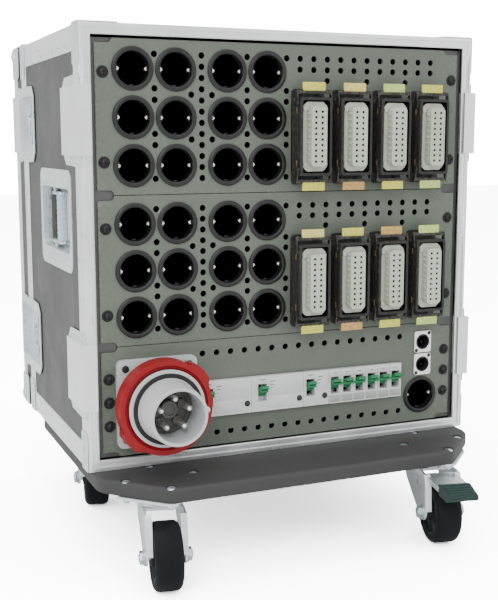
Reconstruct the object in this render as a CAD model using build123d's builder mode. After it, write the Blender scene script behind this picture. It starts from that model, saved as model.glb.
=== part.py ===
"""Portable power distribution rack in a flight case on a castor board.

Millimetres, +Z up. +Y runs from the front panels into the case, and +X is to the right of someone
facing the panels. The origin is on the floor, under the middle of the whole object.
Most sizes below are given in the panel frame: x from the middle, y back from the panels' front
faces, z up from the bottom edge of the lowest panel.
"""

from build123d import *
from math import cos, radians, sin, sqrt
import os

os.makedirs("parts", exist_ok=True)

# ---------------------------------------------------------------- driving sizes
RUN_GAP = 0.05  # radial clearance of a shaft in its hole
MOVE_GAP = 0.4  # clearance between bodies that move past each other
FIT_GAP = 0.3  # clearance round pieces that are only set into a cut-out
PART_GAP = 0.1  # parting line between two pieces of one assembly
SHEET = 1.2  # dished and folded sheet metal

# Castors
WHEEL_D = 80.0
WHEEL_W = 33.0
WHEEL_HUB_D = 56.0
AXLE_D = 10.0
CASTOR_H = 105.0
CASTOR_TRAIL = 38.0
CASTOR_PLATE = 78.0
CASTOR_PLATE_T = 3.0
CASTOR_BOLT_PITCH = 58.0
CASTOR_BOLT_D = 6.0
BOLT_HEAD = (13.0, 3.5)  # diameter and thickness
BOLT_NUT = (5.8, 4.6)  # corner radius and thickness
BOLT_END = 5.0  # how far a bolt stands past the castor plate
KINGPIN_D = 12.0
KINGPIN_HEAD = (20.0, 3.0)
FORK_T = 3.0
CROWN_D = 56.0
CROWN_H = 9.0
AXLE_NUT = 8.5
AXLE_NUT_T = (6.0, 7.0)  # head on the left, nut on the right
BRAKE_PIN_D = 5.0
PEDAL_Y = (-112.0, -84.0)
PEDAL_W = 42.0
SWIVEL_X = 186.0
SWIVEL_Y = (-46.0, 266.0)
CASTOR_YAW = {
    "front_left": -10.0,
    "front_right": -12.0,
    "rear_left": -11.0,
    "rear_right": -14.0,
}
BRAKED = ("front_right", "rear_right")

# Castor board
BOARD_T = 18.0
BOARD_W = 512.0
BOARD_Y = (-98.0, 350.0)
BOARD_CORNER = 70.0
BOARD_BEVEL = 4.0

# Flight case
CASE_W = 520.0
CASE_H = 519.0
RIM_W = 13.5  # width of the front and rear rims, seen from the front
RIM_GAP = 0.8  # between the lower rim and the lowest panel
RIM_T = 3.5
RIM_LEG = 30.0
LEG_T = 1.5
RIM_LIP = 14.0
GROOVE = (5.0, 9.5)
GROOVE_T = 1.8
WALL_T = 7.0
FRONT_EDGE = -5.0
SPLIT_Y = 333.0
LID_D = 57.0
CORNER_R = 16.0  # ball corners of the lid
CORNER_PROUD = 5.0

# Nineteen-inch rack
RACK_U = 44.45
RACK_PANEL_W = 482.6
RACK_BOLT_X = 232.55
PANEL_T = 2.5
PANEL_PLAY = 0.8
PANEL_UNITS = (3, 4, 4)  # from the bottom up
RAIL_T = 2.0
RAIL_RETURN = 28.0
TRAY_D = 120.0
SCREW_D = 6.0
SCREW_CUP = (14.0, 1.6)  # cup washer: diameter and thickness
SCREW_HEAD = (10.0, 5.6)  # diameter, and how far it stands in front of the panel
SCREW_TAIL = 18.0
BOLT_Z_LOW = (38.1, 66.7, 95.25)  # screws of the lowest panel
BOLT_Z = (37.9, 139.5)  # screws of an outlet panel, from its lower boundary

# Round earthed sockets
SOCKET_D = 50.0
SOCKET_BODY_D = 43.0
SOCKET_RECESS_D = 39.5
SOCKET_RECESS = 17.5
SOCKET_FLANGE_T = 3.0
SOCKET_DEPTH = 38.0
SOCKET_PIN_PITCH = 19.0
SOCKET_PAIR = 52.0
SOCKET_GROUP = 116.4
SOCKET_GRID_X = -113.0
SOCKET_ROW = 55.0
SOCKET_PIN = (5.2, 15.0)  # diameter and depth of a pin hole
EARTH_CLIP = (4.2, 5.0)  # how far a clip stands in from the wall, and its width
EARTH_CLIP_H = 12.0
SOCKET_EDGE = 1.2
LONE_SOCKET = (196.0, 36.0)

# Ventilation holes
VENT_D = 7.5
VENT_Z_PITCH = 12.94
VENT_Z_TOP = 160.9
VENT_X_PITCH = 18.57
VENT_X_FIRST = 15.2
VENT_COLUMNS = (-58.0, 58.0, 110.0)  # from the middle of the socket grid
VENT_FLANK = 13.0
LOW_VENT_Z = (117.0, 16.2)

# Multi-pin connectors
PLUG_X_FIRST = 24.5
PLUG_PITCH = 55.8
PLUG_Z = 67.0
PLUG_COUNT = 4
HOUSING_W = 43.0
HOUSING_L = 94.0
HOUSING_H = 27.0
HOUSING_FLANGE_L = 116.0
HOUSING_WALL = 3.4
HOUSING_FLANGE_T = 3.0
INSERT_W = 33.6
INSERT_L = 84.0
INSERT_FACE = 25.0
LEVER_PIVOT = (19.0, 40.0)  # in front of the panel, and from the middle of the housing
LEVER_T = 2.0
LEVER_REACH = 11.4
LEVER_TIP = 25.5
LEVER_PEG_D = 4.0

# Supply inlet
INLET_C = (-174.6, 64.5)
INLET_FLANGE = (100.0, 107.0)
INLET_SCREWS = (80.0, 86.5)
INLET_SCREW_D = 5.0
INLET_SCREW_HEAD = (8.4, 2.6)
INLET_SCREW_TAIL = 8.0
INLET_BODY = (70.0, 60.0)  # diameter and depth behind the panel
INLET_FLANGE_T = 8.0
COLLAR_D = 90.0
RING_D = 114.0
RING_Y = (20.0, 42.0)
SHROUD_D = (77.0, 67.0)
SHROUD_BORE = 60.0
SHROUD_MOUTH = 88.0
SHROUD_FLOOR = 40.0
PIN_D = 7.0
PIN_CIRCLE = 36.0
PIN_TIP = 74.0
KEY_BUMP = (9.0, 28.0, 10.0)  # diameter, length and angle of the key on the shroud
LUG = (16.0, 34.0)  # the two finger lugs on the ring
LUG_ANGLE = 42.0

# Breakers on their rail
MODULE_W = 18.0
BREAKER_Z = 60.5
BREAKER_WINDOW = 45.0
BREAKER_H = 85.0
BREAKER_FACE = 6.0
BREAKER_DEPTH = 62.0
RCD_MODULES = (4, 4, 2)
MCB_MODULES = (3, 3)
TOGGLE_R = 6.5
TOGGLE_AXIS = 3.0  # behind the panel face
TOGGLE_REACH = 19.0
TOGGLE_W = 11.0
TOGGLE_UP = 25.0
BUTTON_D = 7.0
BUTTON_TRAVEL = 1.2
BUTTON_PROUD = 1.8
BUTTON_TAIL = 3.0  # behind the panel face
BUTTON_FROM = (5.5, 10.5)  # from the breaker's right edge, and below its middle
TOGGLE_FROM = (15.0, 10.0)  # from the left edge of a wide and of a narrow breaker
TOGGLE_BLADE = 5.0
TOGGLE_SLOT = 22.0
TIE_BAR = (14.5, 14.0, 1.6)  # reach from the pivot, degrees below the blade, and radius
RAIL_SIZE = (4.0, 7.4, 35.0)  # overhang at each end, thickness and height

# Round signal sockets
SIGNAL_X = 198.5
SIGNAL_Z = (108.0, 77.6)
SIGNAL_PLATE = (26.0, 29.0)
SIGNAL_BARREL_D = 23.6
SIGNAL_BORE_D = 18.0
SIGNAL_DEPTH = (25.0, 14.0)  # of the barrel, and of the bore in it
SIGNAL_PLATE_T = 2.0

# Side handles
HANDLE_C = (138.5, 277.0)
HANDLE_FLANGE = (172.0, 124.0)
HANDLE_MOUTH = (150.0, 78.0)
HANDLE_DEPTH = 16.0
GRIP_D = 14.0
GRIP_ARM = 35.0
GRIP_PIN_D = 5.0

# Recessed butterfly latches
LATCH_Z = (99.5, 396.0)
LATCH_MOUTH_H = 75.5
LATCH_LENGTH = 75.0
LATCH_CATCH = 50.0
LATCH_DEPTH = 10.0
LATCH_FLANGE_H = 105.0
WING_L = 56.0
WING_W = 22.0
WING_T = 2.5
WING_AXIS_Y = 30.0  # back from the case's edge

# ---------------------------------------------------------------- derived sizes
BOARD_TOP = CASTOR_H + BOARD_T
RIM_BELOW = RIM_W + RIM_GAP
PANEL_Z = BOARD_TOP + RIM_BELOW  # height of the panels' bottom edge above the floor
REAR_Y = SPLIT_Y + LID_D + CORNER_PROUD
BRAKE_YAW = radians(abs(CASTOR_YAW["front_right"]))
FRONT_REACH = -SWIVEL_Y[0] - PEDAL_Y[0] * cos(BRAKE_YAW) + PEDAL_W / 2 * sin(BRAKE_YAW)
PANEL_Y = -(REAR_Y - FRONT_REACH) / 2  # where the panels' front faces stand in the object's frame
CASE_Z = (-RIM_BELOW, CASE_H - RIM_BELOW)
HALF_W = CASE_W / 2
WALL_X = HALF_W - LEG_T  # outer face of the side walls
RACK_TOP = sum(PANEL_UNITS) * RACK_U
BREAKER_X0 = INLET_C[0] + INLET_FLANGE[0] / 2 + FIT_GAP  # the breakers start beside the inlet's flange
SOCKET_REACH = -SOCKET_GRID_X + (SOCKET_GROUP + SOCKET_PAIR + SOCKET_BODY_D) / 2
TRAY_HALF = SOCKET_REACH + FIT_GAP + SHEET  # the trays clear the outermost sockets
RAIL_INNER = TRAY_HALF + 5 * FIT_GAP

FRONT = Plane(origin=(0, PANEL_Y, PANEL_Z), x_dir=(1, 0, 0), z_dir=(0, -1, 0))


# ---------------------------------------------------------------- helpers
def block(x, y, z, mode=Mode.ADD):
    """Add or cut a box between pairs of x, y and z in the panel frame."""
    with Locations((sum(x) / 2, PANEL_Y + sum(y) / 2, PANEL_Z + sum(z) / 2)):
        Box(x[1] - x[0], y[1] - y[0], z[1] - z[0], mode=mode)


def ring(y, outer, inner):
    """Make a rectangular ring round the case between two y values; insets are from its outside."""
    with BuildPart() as built:
        block((outer - HALF_W, HALF_W - outer), y, (CASE_Z[0] + outer, CASE_Z[1] - outer))
        inside = (inner - HALF_W, HALF_W - inner)
        block(inside, y, (CASE_Z[0] + inner, CASE_Z[1] - inner), Mode.SUBTRACT)
    return built.part


def save(node, name):
    """Label a finished piece and write it."""
    node.part.label = name
    export_step(node.part, f"parts/{name}.step")


def panel_base(row):
    """Height of a rack panel's lower boundary, counting rows from the bottom."""
    return sum(PANEL_UNITS[:row]) * RACK_U


def socket_centres(base):
    """Centres of the twelve round sockets on a panel, two pairs of columns by three rows."""
    middle = base + PANEL_UNITS[1] * RACK_U / 2
    rows = [middle + SOCKET_ROW * step for step in (-1, 0, 1)]
    groups = [SOCKET_GRID_X + SOCKET_GROUP * side / 2 for side in (-1, 1)]
    return [(group + SOCKET_PAIR * side / 2, z) for z in rows for group in groups for side in (-1, 1)]


def plug_centres(base):
    """Centres of the multi-pin connectors on a panel."""
    return [(PLUG_X_FIRST + PLUG_PITCH * step, base + PLUG_Z) for step in range(PLUG_COUNT)]


def breaker_spans(modules, start):
    """Left and right edges of breakers standing side by side."""
    spans = []
    for count in modules:
        spans.append((start, start + count * MODULE_W))
        start += count * MODULE_W
    return spans


OUTLET_ROWS = (1, 2)
SOCKETS = [c for row in OUTLET_ROWS for c in socket_centres(panel_base(row))] + [LONE_SOCKET]
PLUGS = [c for row in OUTLET_ROWS for c in plug_centres(panel_base(row))]
RCDS = breaker_spans(RCD_MODULES, BREAKER_X0)
MCBS = breaker_spans(MCB_MODULES, RCDS[-1][1])
BREAKER_X = (BREAKER_X0, MCBS[-1][1])
CASTORS = {
    f"{end}_{side}": (sign * SWIVEL_X, PANEL_Y + SWIVEL_Y[index])
    for index, end in enumerate(("front", "rear"))
    for sign, side in ((-1, "left"), (1, "right"))
}


# ---------------------------------------------------------------- castors
AXLE_Z = WHEEL_D / 2
PLATE_Z = CASTOR_H - CASTOR_PLATE_T
CROWN_TOP = PLATE_Z - MOVE_GAP
WEB_TOP = CROWN_TOP - CROWN_H
CHEEK_X = WHEEL_W / 2 + 5.0
BRAKE_HINGE = (-34.0, WEB_TOP - 5.5)

# A castor is drawn with its swivel axis on Z and its wheel trailing towards -Y.
with BuildPart() as fork_shape:
    with BuildSketch(Plane.XY.offset(WEB_TOP)):
        Circle(CROWN_D / 2)
    extrude(amount=CROWN_H, taper=12)
    with BuildSketch(Plane.XY.offset(WEB_TOP - FORK_T)):
        with Locations((0, 1)):
            Rectangle(2 * CHEEK_X, 50)
    extrude(amount=FORK_T)
    for side in (-1, 1):
        with BuildSketch(Plane.YZ.offset(side * (CHEEK_X + FORK_T / 2) - FORK_T / 2)):
            with BuildLine():
                Polyline(
                    (26, WEB_TOP),
                    (-42, WEB_TOP),
                    (-CASTOR_TRAIL - 10, AXLE_Z),
                    (-CASTOR_TRAIL + 9, AXLE_Z - 5),
                    (26, WEB_TOP - 22),
                    close=True,
                )
            make_face()
            with Locations((-CASTOR_TRAIL, AXLE_Z)):
                Circle(11)
        extrude(amount=FORK_T)
    with BuildSketch(Plane.YZ):
        with Locations((-CASTOR_TRAIL, AXLE_Z)):
            Circle(AXLE_D / 2 + PART_GAP)
        with Locations(BRAKE_HINGE):
            Circle(BRAKE_PIN_D / 2 + RUN_GAP)
    extrude(amount=CASTOR_PLATE, both=True, mode=Mode.SUBTRACT)
    with BuildSketch(Plane.XY.offset(WEB_TOP - FORK_T)):
        Circle(KINGPIN_D / 2 + RUN_GAP)
    extrude(amount=CROWN_H + FORK_T, mode=Mode.SUBTRACT)

with BuildPart() as axle_shape:
    nut_x = CHEEK_X + FORK_T + PART_GAP
    with BuildSketch(Plane.YZ.offset(-nut_x)):
        with Locations((-CASTOR_TRAIL, AXLE_Z)):
            Circle(AXLE_D / 2)
    extrude(amount=2 * nut_x)
    with BuildSketch(Plane.YZ.offset(nut_x)):
        with Locations((-CASTOR_TRAIL, AXLE_Z)):
            RegularPolygon(AXLE_NUT, 6)
    extrude(amount=AXLE_NUT_T[1])
    with BuildSketch(Plane.YZ.offset(-nut_x)):
        with Locations((-CASTOR_TRAIL, AXLE_Z)):
            RegularPolygon(AXLE_NUT, 6)
    extrude(amount=-AXLE_NUT_T[0])

with BuildPart() as tyre_shape:
    with BuildSketch(Plane.YZ.offset(-WHEEL_W / 2)):
        with Locations((-CASTOR_TRAIL, AXLE_Z)):
            Circle(WHEEL_D / 2)
            Circle(WHEEL_HUB_D / 2 + PART_GAP, mode=Mode.SUBTRACT)
    extrude(amount=WHEEL_W)
    tread_edges = tyre_shape.edges().filter_by(GeomType.CIRCLE).group_by(SortBy.RADIUS)[-1]
    fillet(tread_edges, 5.0)

with BuildPart() as hub_shape:
    with BuildSketch(Plane.YZ.offset(-WHEEL_W / 2 - 2)):
        with Locations((-CASTOR_TRAIL, AXLE_Z)):
            Circle(11)
    extrude(amount=WHEEL_W + 4)
    with BuildSketch(Plane.YZ.offset(-WHEEL_W / 2 + 3)):
        with Locations((-CASTOR_TRAIL, AXLE_Z)):
            Circle(WHEEL_HUB_D / 2)
    extrude(amount=WHEEL_W - 6)
    with BuildSketch(Plane.YZ.offset(-WHEEL_W)):
        with Locations((-CASTOR_TRAIL, AXLE_Z)):
            Circle(AXLE_D / 2 + RUN_GAP)
    extrude(amount=2 * WHEEL_W, mode=Mode.SUBTRACT)

with BuildPart() as pedal_shape:
    arm_x = CHEEK_X - MOVE_GAP
    hinge_y, hinge_z = BRAKE_HINGE
    with BuildSketch(Plane.YZ.offset(-CHEEK_X - FORK_T)):
        with Locations(BRAKE_HINGE):
            Circle(BRAKE_PIN_D / 2)
    extrude(amount=2 * (CHEEK_X + FORK_T))
    with Locations((0, (PEDAL_Y[1] + hinge_y) / 2, hinge_z)):
        Box(2 * arm_x, hinge_y - PEDAL_Y[1], FORK_T)
    with BuildSketch(Plane.YZ.offset(-PEDAL_W / 2)):
        with BuildLine():
            Polyline(
                (PEDAL_Y[1] + 2, hinge_z + 5),
                (PEDAL_Y[0], hinge_z - 3),
                (PEDAL_Y[0], hinge_z - 10),
                (PEDAL_Y[1], hinge_z - 9),
                close=True,
            )
        make_face()
    extrude(amount=PEDAL_W)

for corner, (swivel_x, swivel_y) in CASTORS.items():
    place = Location((swivel_x, swivel_y, 0), (0, 0, CASTOR_YAW[corner]))
    with BuildPart() as fork:
        with Locations(place):
            add(fork_shape.part)
            add(axle_shape.part)
    save(fork, f"castor_fork_{corner}")
    with BuildPart() as wheel:
        with Locations(place):
            add(tyre_shape.part)
            add(hub_shape.part)
    save(wheel, f"castor_wheel_{corner}")
    if corner in BRAKED:
        with BuildPart() as pedal:
            with Locations(place):
                add(pedal_shape.part)
        save(pedal, f"brake_pedal_{corner}")

PLATE_PLACES = [Location((x, y, 0), (0, 0, 45)) for x, y in CASTORS.values()]

with BuildPart() as plate_shape:
    with BuildSketch(Plane.XY.offset(PLATE_Z)):
        RectangleRounded(CASTOR_PLATE, CASTOR_PLATE, 12)
        with GridLocations(CASTOR_BOLT_PITCH, CASTOR_BOLT_PITCH, 2, 2):
            Circle(CASTOR_BOLT_D / 2 + FIT_GAP, mode=Mode.SUBTRACT)
    extrude(amount=CASTOR_PLATE_T)
    with BuildSketch(Plane.XY.offset(PLATE_Z)):
        Circle(KINGPIN_D / 2)
    extrude(amount=-(CROWN_H + FORK_T + 2 * MOVE_GAP + KINGPIN_HEAD[1]))
    with BuildSketch(Plane.XY.offset(WEB_TOP - FORK_T - MOVE_GAP)):
        Circle(KINGPIN_HEAD[0] / 2)
    extrude(amount=-KINGPIN_HEAD[1])

with BuildPart() as castor_plates:
    with Locations(*PLATE_PLACES):
        add(plate_shape.part)
save(castor_plates, "castor_plates")

# ---------------------------------------------------------------- castor board
HEAD_D, HEAD_T = BOLT_HEAD

with BuildPart() as dolly_board:
    board_middle = PANEL_Y + sum(BOARD_Y) / 2
    with BuildSketch(Plane.XY.offset(CASTOR_H)) as board_outline:
        with Locations((0, board_middle)):
            Rectangle(BOARD_W, BOARD_Y[1] - BOARD_Y[0])
        chamfer(board_outline.vertices(), BOARD_CORNER)
    extrude(amount=BOARD_T)
    chamfer(dolly_board.faces().sort_by(Axis.Z)[-1].edges(), BOARD_BEVEL)
    with Locations(*[Location((x, y, BOARD_TOP), (0, 0, 45)) for x, y in CASTORS.values()]):
        with GridLocations(CASTOR_BOLT_PITCH, CASTOR_BOLT_PITCH, 2, 2):
            CounterBoreHole(CASTOR_BOLT_D / 2 + FIT_GAP, HEAD_D / 2 + FIT_GAP, HEAD_T + FIT_GAP, BOARD_T)
save(dolly_board, "dolly_board")

# ---------------------------------------------------------------- flight case
DISH_WALL_X = HALF_W - LATCH_DEPTH  # outer face of a latch dish's floor
LATCH_CUT_X = DISH_WALL_X - SHEET - FIT_GAP
LATCH_CUT_Z = LATCH_MOUTH_H / 2 + SHEET + FIT_GAP


def cut_latch_pockets(ends):
    """Cut the pockets for latch dishes in both sides, for (edge, inner end) pairs of y."""
    for height in LATCH_Z:
        for end in ends:
            for side in (-1, 1):
                x = sorted((side * LATCH_CUT_X, side * (HALF_W + 3)))
                block(x, sorted(end), (height - LATCH_CUT_Z, height + LATCH_CUT_Z), Mode.SUBTRACT)


BODY_POCKETS = (
    (FRONT_EDGE - 1, FRONT_EDGE + LATCH_LENGTH + SHEET + FIT_GAP),
    (SPLIT_Y + 1, SPLIT_Y - LATCH_LENGTH - SHEET - FIT_GAP),
)

with BuildPart() as case_panels:
    wall_y = (FRONT_EDGE + RIM_T, SPLIT_Y - RIM_T)
    wall_z = (CASE_Z[0] + LEG_T, CASE_Z[1] - LEG_T)
    for side in (-1, 1):
        block(sorted((side * WALL_X, side * (WALL_X - WALL_T))), wall_y, wall_z)
        mouth = [HANDLE_MOUTH[0] / 2 + SHEET + FIT_GAP, HANDLE_MOUTH[1] / 2 + SHEET + FIT_GAP]
        block(
            sorted((side * (WALL_X - WALL_T - 1), side * (WALL_X + 1))),
            (HANDLE_C[0] - mouth[0], HANDLE_C[0] + mouth[0]),
            (HANDLE_C[1] - mouth[1], HANDLE_C[1] + mouth[1]),
            Mode.SUBTRACT,
        )
    between = WALL_X - WALL_T - PART_GAP
    block((-between, between), wall_y, (wall_z[0], wall_z[0] + WALL_T))
    block((-between, between), wall_y, (wall_z[1] - WALL_T, wall_z[1]))
    cut_latch_pockets(BODY_POCKETS)
save(case_panels, "case_panels")


def rim(edge, inward):
    """Build one edge rim of four mitred lengths: a grooved face with legs that grip the walls."""
    wall_inside = LEG_T + WALL_T + PART_GAP
    face = ring(sorted((edge, edge + inward * RIM_T)), 0, RIM_W)
    groove = ring(sorted((edge, edge + inward * GROOVE_T)), *GROOVE)
    leg = ring(sorted((edge + inward * RIM_T, edge + inward * RIM_LEG)), 0, LEG_T)
    lip = ring(sorted((edge + inward * RIM_T, edge + inward * RIM_LIP)), wall_inside, wall_inside + LEG_T)
    corners = [(side * HALF_W, PANEL_Z + z, way) for side in (-1, 1) for z, way in zip(CASE_Z, (1, -1))]
    with BuildPart() as built:
        add(face)
        add(groove, mode=Mode.SUBTRACT)
        add(leg)
        add(lip)
        cut_latch_pockets(BODY_POCKETS)
        for x, z, way in corners:
            with BuildSketch(Plane(origin=(x, PANEL_Y + edge, z), x_dir=(-x / HALF_W, 0, way), z_dir=(0, 1, 0))):
                Rectangle(2 * RIM_LEG, PART_GAP)
            extrude(amount=RIM_LEG + PART_GAP, both=True, mode=Mode.SUBTRACT)
    return built.part


front_rim = rim(FRONT_EDGE, 1)
rear_rim = rim(SPLIT_Y, -1)

with BuildPart() as edge_angles:
    angle_y = (FRONT_EDGE + RIM_LEG + PART_GAP, SPLIT_Y - RIM_LEG - PART_GAP)
    for side in (-1, 1):
        side_leg = sorted((side * WALL_X, side * HALF_W))
        flat_leg = sorted((side * (HALF_W - RIM_LEG), side * HALF_W))
        for foot, way in ((CASE_Z[0], 1), (CASE_Z[1], -1)):
            block(side_leg, angle_y, sorted((foot, foot + way * RIM_LEG)))
            block(flat_leg, angle_y, sorted((foot, foot + way * LEG_T)))

BRACE_L = 46.0
BRACE_W = 29.0
BRACE_X = (HALF_W + PART_GAP, HALF_W + PART_GAP + SHEET)
BRACE_TOP = CASE_Z[1] + PART_GAP
with BuildPart() as corner_braces:
    for brace_y in ((FRONT_EDGE, FRONT_EDGE + BRACE_W), (SPLIT_Y - BRACE_W, SPLIT_Y)):
        for side in (-1, 1):
            cheek = sorted(side * face for face in BRACE_X)
            across = sorted((side * (HALF_W - BRACE_L), side * BRACE_X[1]))
            block(cheek, brace_y, (CASE_Z[1] - BRACE_L, BRACE_TOP + SHEET))
            block(cheek, brace_y, (CASE_Z[0], CASE_Z[0] + BRACE_L))
            block(across, brace_y, (BRACE_TOP, BRACE_TOP + SHEET))

RAIL_Y = PANEL_T + PART_GAP
RAIL_X = WALL_X - WALL_T - LEG_T - 2 * PART_GAP
with BuildPart() as rack_rails:
    for side in (-1, 1):
        rail_z = (PART_GAP, RACK_TOP - PART_GAP)
        leg_y = (RAIL_Y + RAIL_T + PART_GAP, RAIL_Y + RAIL_RETURN)
        block(sorted((side * RAIL_INNER, side * RAIL_X)), (RAIL_Y, RAIL_Y + RAIL_T), rail_z)
        block(sorted((side * (RAIL_X - RAIL_T), side * RAIL_X)), leg_y, rail_z)
    cut_latch_pockets(BODY_POCKETS)


def bolt_heights():
    """Heights of the rack screws up each side."""
    heights = list(BOLT_Z_LOW)
    for row in OUTLET_ROWS:
        heights += [panel_base(row) + height for height in BOLT_Z]
    return heights


RACK_SCREWS = [(side * RACK_BOLT_X, z) for side in (-1, 1) for z in bolt_heights()]

with BuildPart() as case_frame:
    add(front_rim)
    add(rear_rim)
    add(edge_angles.part)
    add(corner_braces.part)
    add(rack_rails.part)
    with BuildSketch(FRONT.offset(-RAIL_Y)):
        with Locations(*RACK_SCREWS):
            Circle(SCREW_D / 2 + FIT_GAP)
    extrude(amount=-RAIL_T, mode=Mode.SUBTRACT)
save(case_frame, "case_frame")

# ---------------------------------------------------------------- latches
LID_Y = (SPLIT_Y + MOVE_GAP, SPLIT_Y + LID_D)
LID_WALL = LEG_T + WALL_T
HINGE_X = HALF_W - LATCH_DEPTH / 2
KNUCKLE_Z = (10.4, 15.0)
KNUCKLE = 7.0
KNUCKLE_SWEEP = KNUCKLE * sqrt(2) + 2 * MOVE_GAP  # the square knuckles clear the wing as it turns
WING_PIN_D = 3.0
FLANGE_CORNER = 8.0


def latch_dish(near, away, length, height, side, foot):
    """Make one latch dish, open at the case's edge; foot tells if the flange reaches past a rim's leg."""
    far = near + away * length
    back = far + away * FLANGE_CORNER
    mouth_z = (height - LATCH_MOUTH_H / 2, height + LATCH_MOUTH_H / 2)
    pan_z = (mouth_z[0] - SHEET, mouth_z[1] + SHEET)
    tall = (height - LATCH_FLANGE_H / 2, height + LATCH_FLANGE_H / 2)
    plate_x = sorted((side * HALF_W, side * (HALF_W + SHEET)))
    with BuildPart() as flange:
        block(plate_x, sorted((near, back)), tall)
        chamfer(flange.edges().filter_by(Axis.X), FLANGE_CORNER - 1)
        block(plate_x, sorted((near, near + away * FLANGE_CORNER)), tall)
        if foot:
            foot_x = sorted((side * WALL_X, side * HALF_W))
            foot_y = sorted((near + away * (RIM_LEG + PART_GAP), far + away * SHEET))
            block(foot_x, foot_y, (tall[0] + FLANGE_CORNER, tall[1] - FLANGE_CORNER))
        block(sorted((side * WALL_X, side * (HALF_W + 2 * SHEET))), sorted((near, far)), pan_z, Mode.SUBTRACT)
    with BuildPart() as dish:
        shell_x = sorted((side * (DISH_WALL_X - SHEET), side * (HALF_W + SHEET)))
        block(shell_x, sorted((near, far + away * SHEET)), pan_z)
        hollow_x = sorted((side * DISH_WALL_X, side * (HALF_W + 2 * SHEET)))
        block(hollow_x, sorted((near - away, far)), mouth_z, Mode.SUBTRACT)
        add(flange.part)
    return dish.part


def latch_hinge(near, away, height, side):
    """Make the hook, knuckles and hinge pin that stand in a body-half dish."""
    axis_y = near + away * WING_AXIS_Y
    knuckle_x = sorted((side * DISH_WALL_X, side * (HINGE_X + KNUCKLE / 2)))
    knuckle_y = (axis_y - KNUCKLE / 2, axis_y + KNUCKLE / 2)
    low, high = KNUCKLE_Z
    with BuildPart() as hinge:
        block(knuckle_x, knuckle_y, (height + low, height + high))
        block(knuckle_x, knuckle_y, (height - high, height - low))
        hook_x = sorted((side * DISH_WALL_X, side * (DISH_WALL_X + 1.6)))
        block(hook_x, sorted((near + away * 3, axis_y)), (height - low, height + low))
        with Locations((side * HINGE_X, PANEL_Y + axis_y, PANEL_Z + height)):
            Cylinder(WING_PIN_D / 2, 2 * low + 1)
    return hinge.part


LATCHES = {
    f"{end}_{hand}_{level}": (near, away, height, side)
    for end, near, away in (("front", FRONT_EDGE, 1), ("rear", SPLIT_Y, -1))
    for side, hand in ((-1, "left"), (1, "right"))
    for level, height in zip(("lower", "upper"), LATCH_Z)
}

dishes = []
for near, away, height, side in LATCHES.values():
    dishes.append(latch_dish(near, away, LATCH_LENGTH, height, side, True))
    dishes.append(latch_hinge(near, away, height, side))

with BuildPart() as latch_dishes:
    for piece in dishes:
        add(piece)
save(latch_dishes, "latch_dishes")

for latch, (near, away, height, side) in LATCHES.items():
    axis_y = PANEL_Y + near + away * WING_AXIS_Y
    hinge_at = (side * HINGE_X, axis_y, PANEL_Z + height)
    with BuildPart() as wing:
        with BuildSketch(Plane.YZ.offset(side * HINGE_X - WING_T / 2)):
            with Locations((axis_y + away * WING_W / 2, PANEL_Z + height)):
                RectangleRounded(WING_W, WING_L, WING_W * 0.45)
            with Locations((axis_y, PANEL_Z + height)):
                Rectangle(KNUCKLE_SWEEP, WING_L, mode=Mode.SUBTRACT)
        extrude(amount=WING_T)
        neck_y = sorted((near + away * WING_AXIS_Y, near + away * (WING_AXIS_Y + KNUCKLE)))
        neck_x = (side * HINGE_X - WING_T / 2, side * HINGE_X + WING_T / 2)
        reach = KNUCKLE_Z[0] - MOVE_GAP
        block(neck_x, neck_y, (height - reach, height + reach))
        with Locations(hinge_at):
            Cylinder(WING_PIN_D, 2 * reach)
            Cylinder(WING_PIN_D / 2 + RUN_GAP, 2 * WING_L, mode=Mode.SUBTRACT)
    save(wing, f"latch_wing_{latch}")

# ---------------------------------------------------------------- rear lid
CORNER_IN = CORNER_R - CORNER_PROUD
with BuildPart() as ball_corners:
    ball_y = PANEL_Y + LID_Y[1] - CORNER_IN
    ball_z = (PANEL_Z + CASE_Z[0] + CORNER_IN, PANEL_Z + CASE_Z[1] - CORNER_IN)
    with Locations(*[(side * (HALF_W - CORNER_IN), ball_y, z) for side in (-1, 1) for z in ball_z]):
        Sphere(CORNER_R)
    hollow = (HALF_W + PART_GAP, (LID_Y[0] - CORNER_R, LID_Y[1] + PART_GAP))
    block((-hollow[0], hollow[0]), hollow[1], (CASE_Z[0] - PART_GAP, CASE_Z[1] + PART_GAP), Mode.SUBTRACT)

catches = [
    latch_dish(LID_Y[0], 1, LATCH_CATCH - FLANGE_CORNER, height, side, False)
    for height in LATCH_Z
    for side in (-1, 1)
]

lid_ring = ring(LID_Y, 0, LID_WALL)
with BuildPart() as lid_shell:
    add(lid_ring)
    block((-HALF_W, HALF_W), (LID_Y[1] - LID_WALL, LID_Y[1]), CASE_Z)
    cut_latch_pockets(((LID_Y[0] - 1, LID_Y[0] + LATCH_CATCH - FLANGE_CORNER + SHEET + FIT_GAP),))

with BuildPart() as rear_lid:
    add(lid_shell.part)
    add(ball_corners.part)
    for catch in catches:
        add(catch)
save(rear_lid, "rear_lid")

# ---------------------------------------------------------------- side handles
PAN_X = WALL_X - HANDLE_DEPTH
GRIP_X = PAN_X + GRIP_D / 2 + 1.5
GRIP_PIVOT_Y = HANDLE_C[0] + GRIP_ARM
GRIP_HALF = HANDLE_MOUTH[1] / 2 - 10

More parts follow.
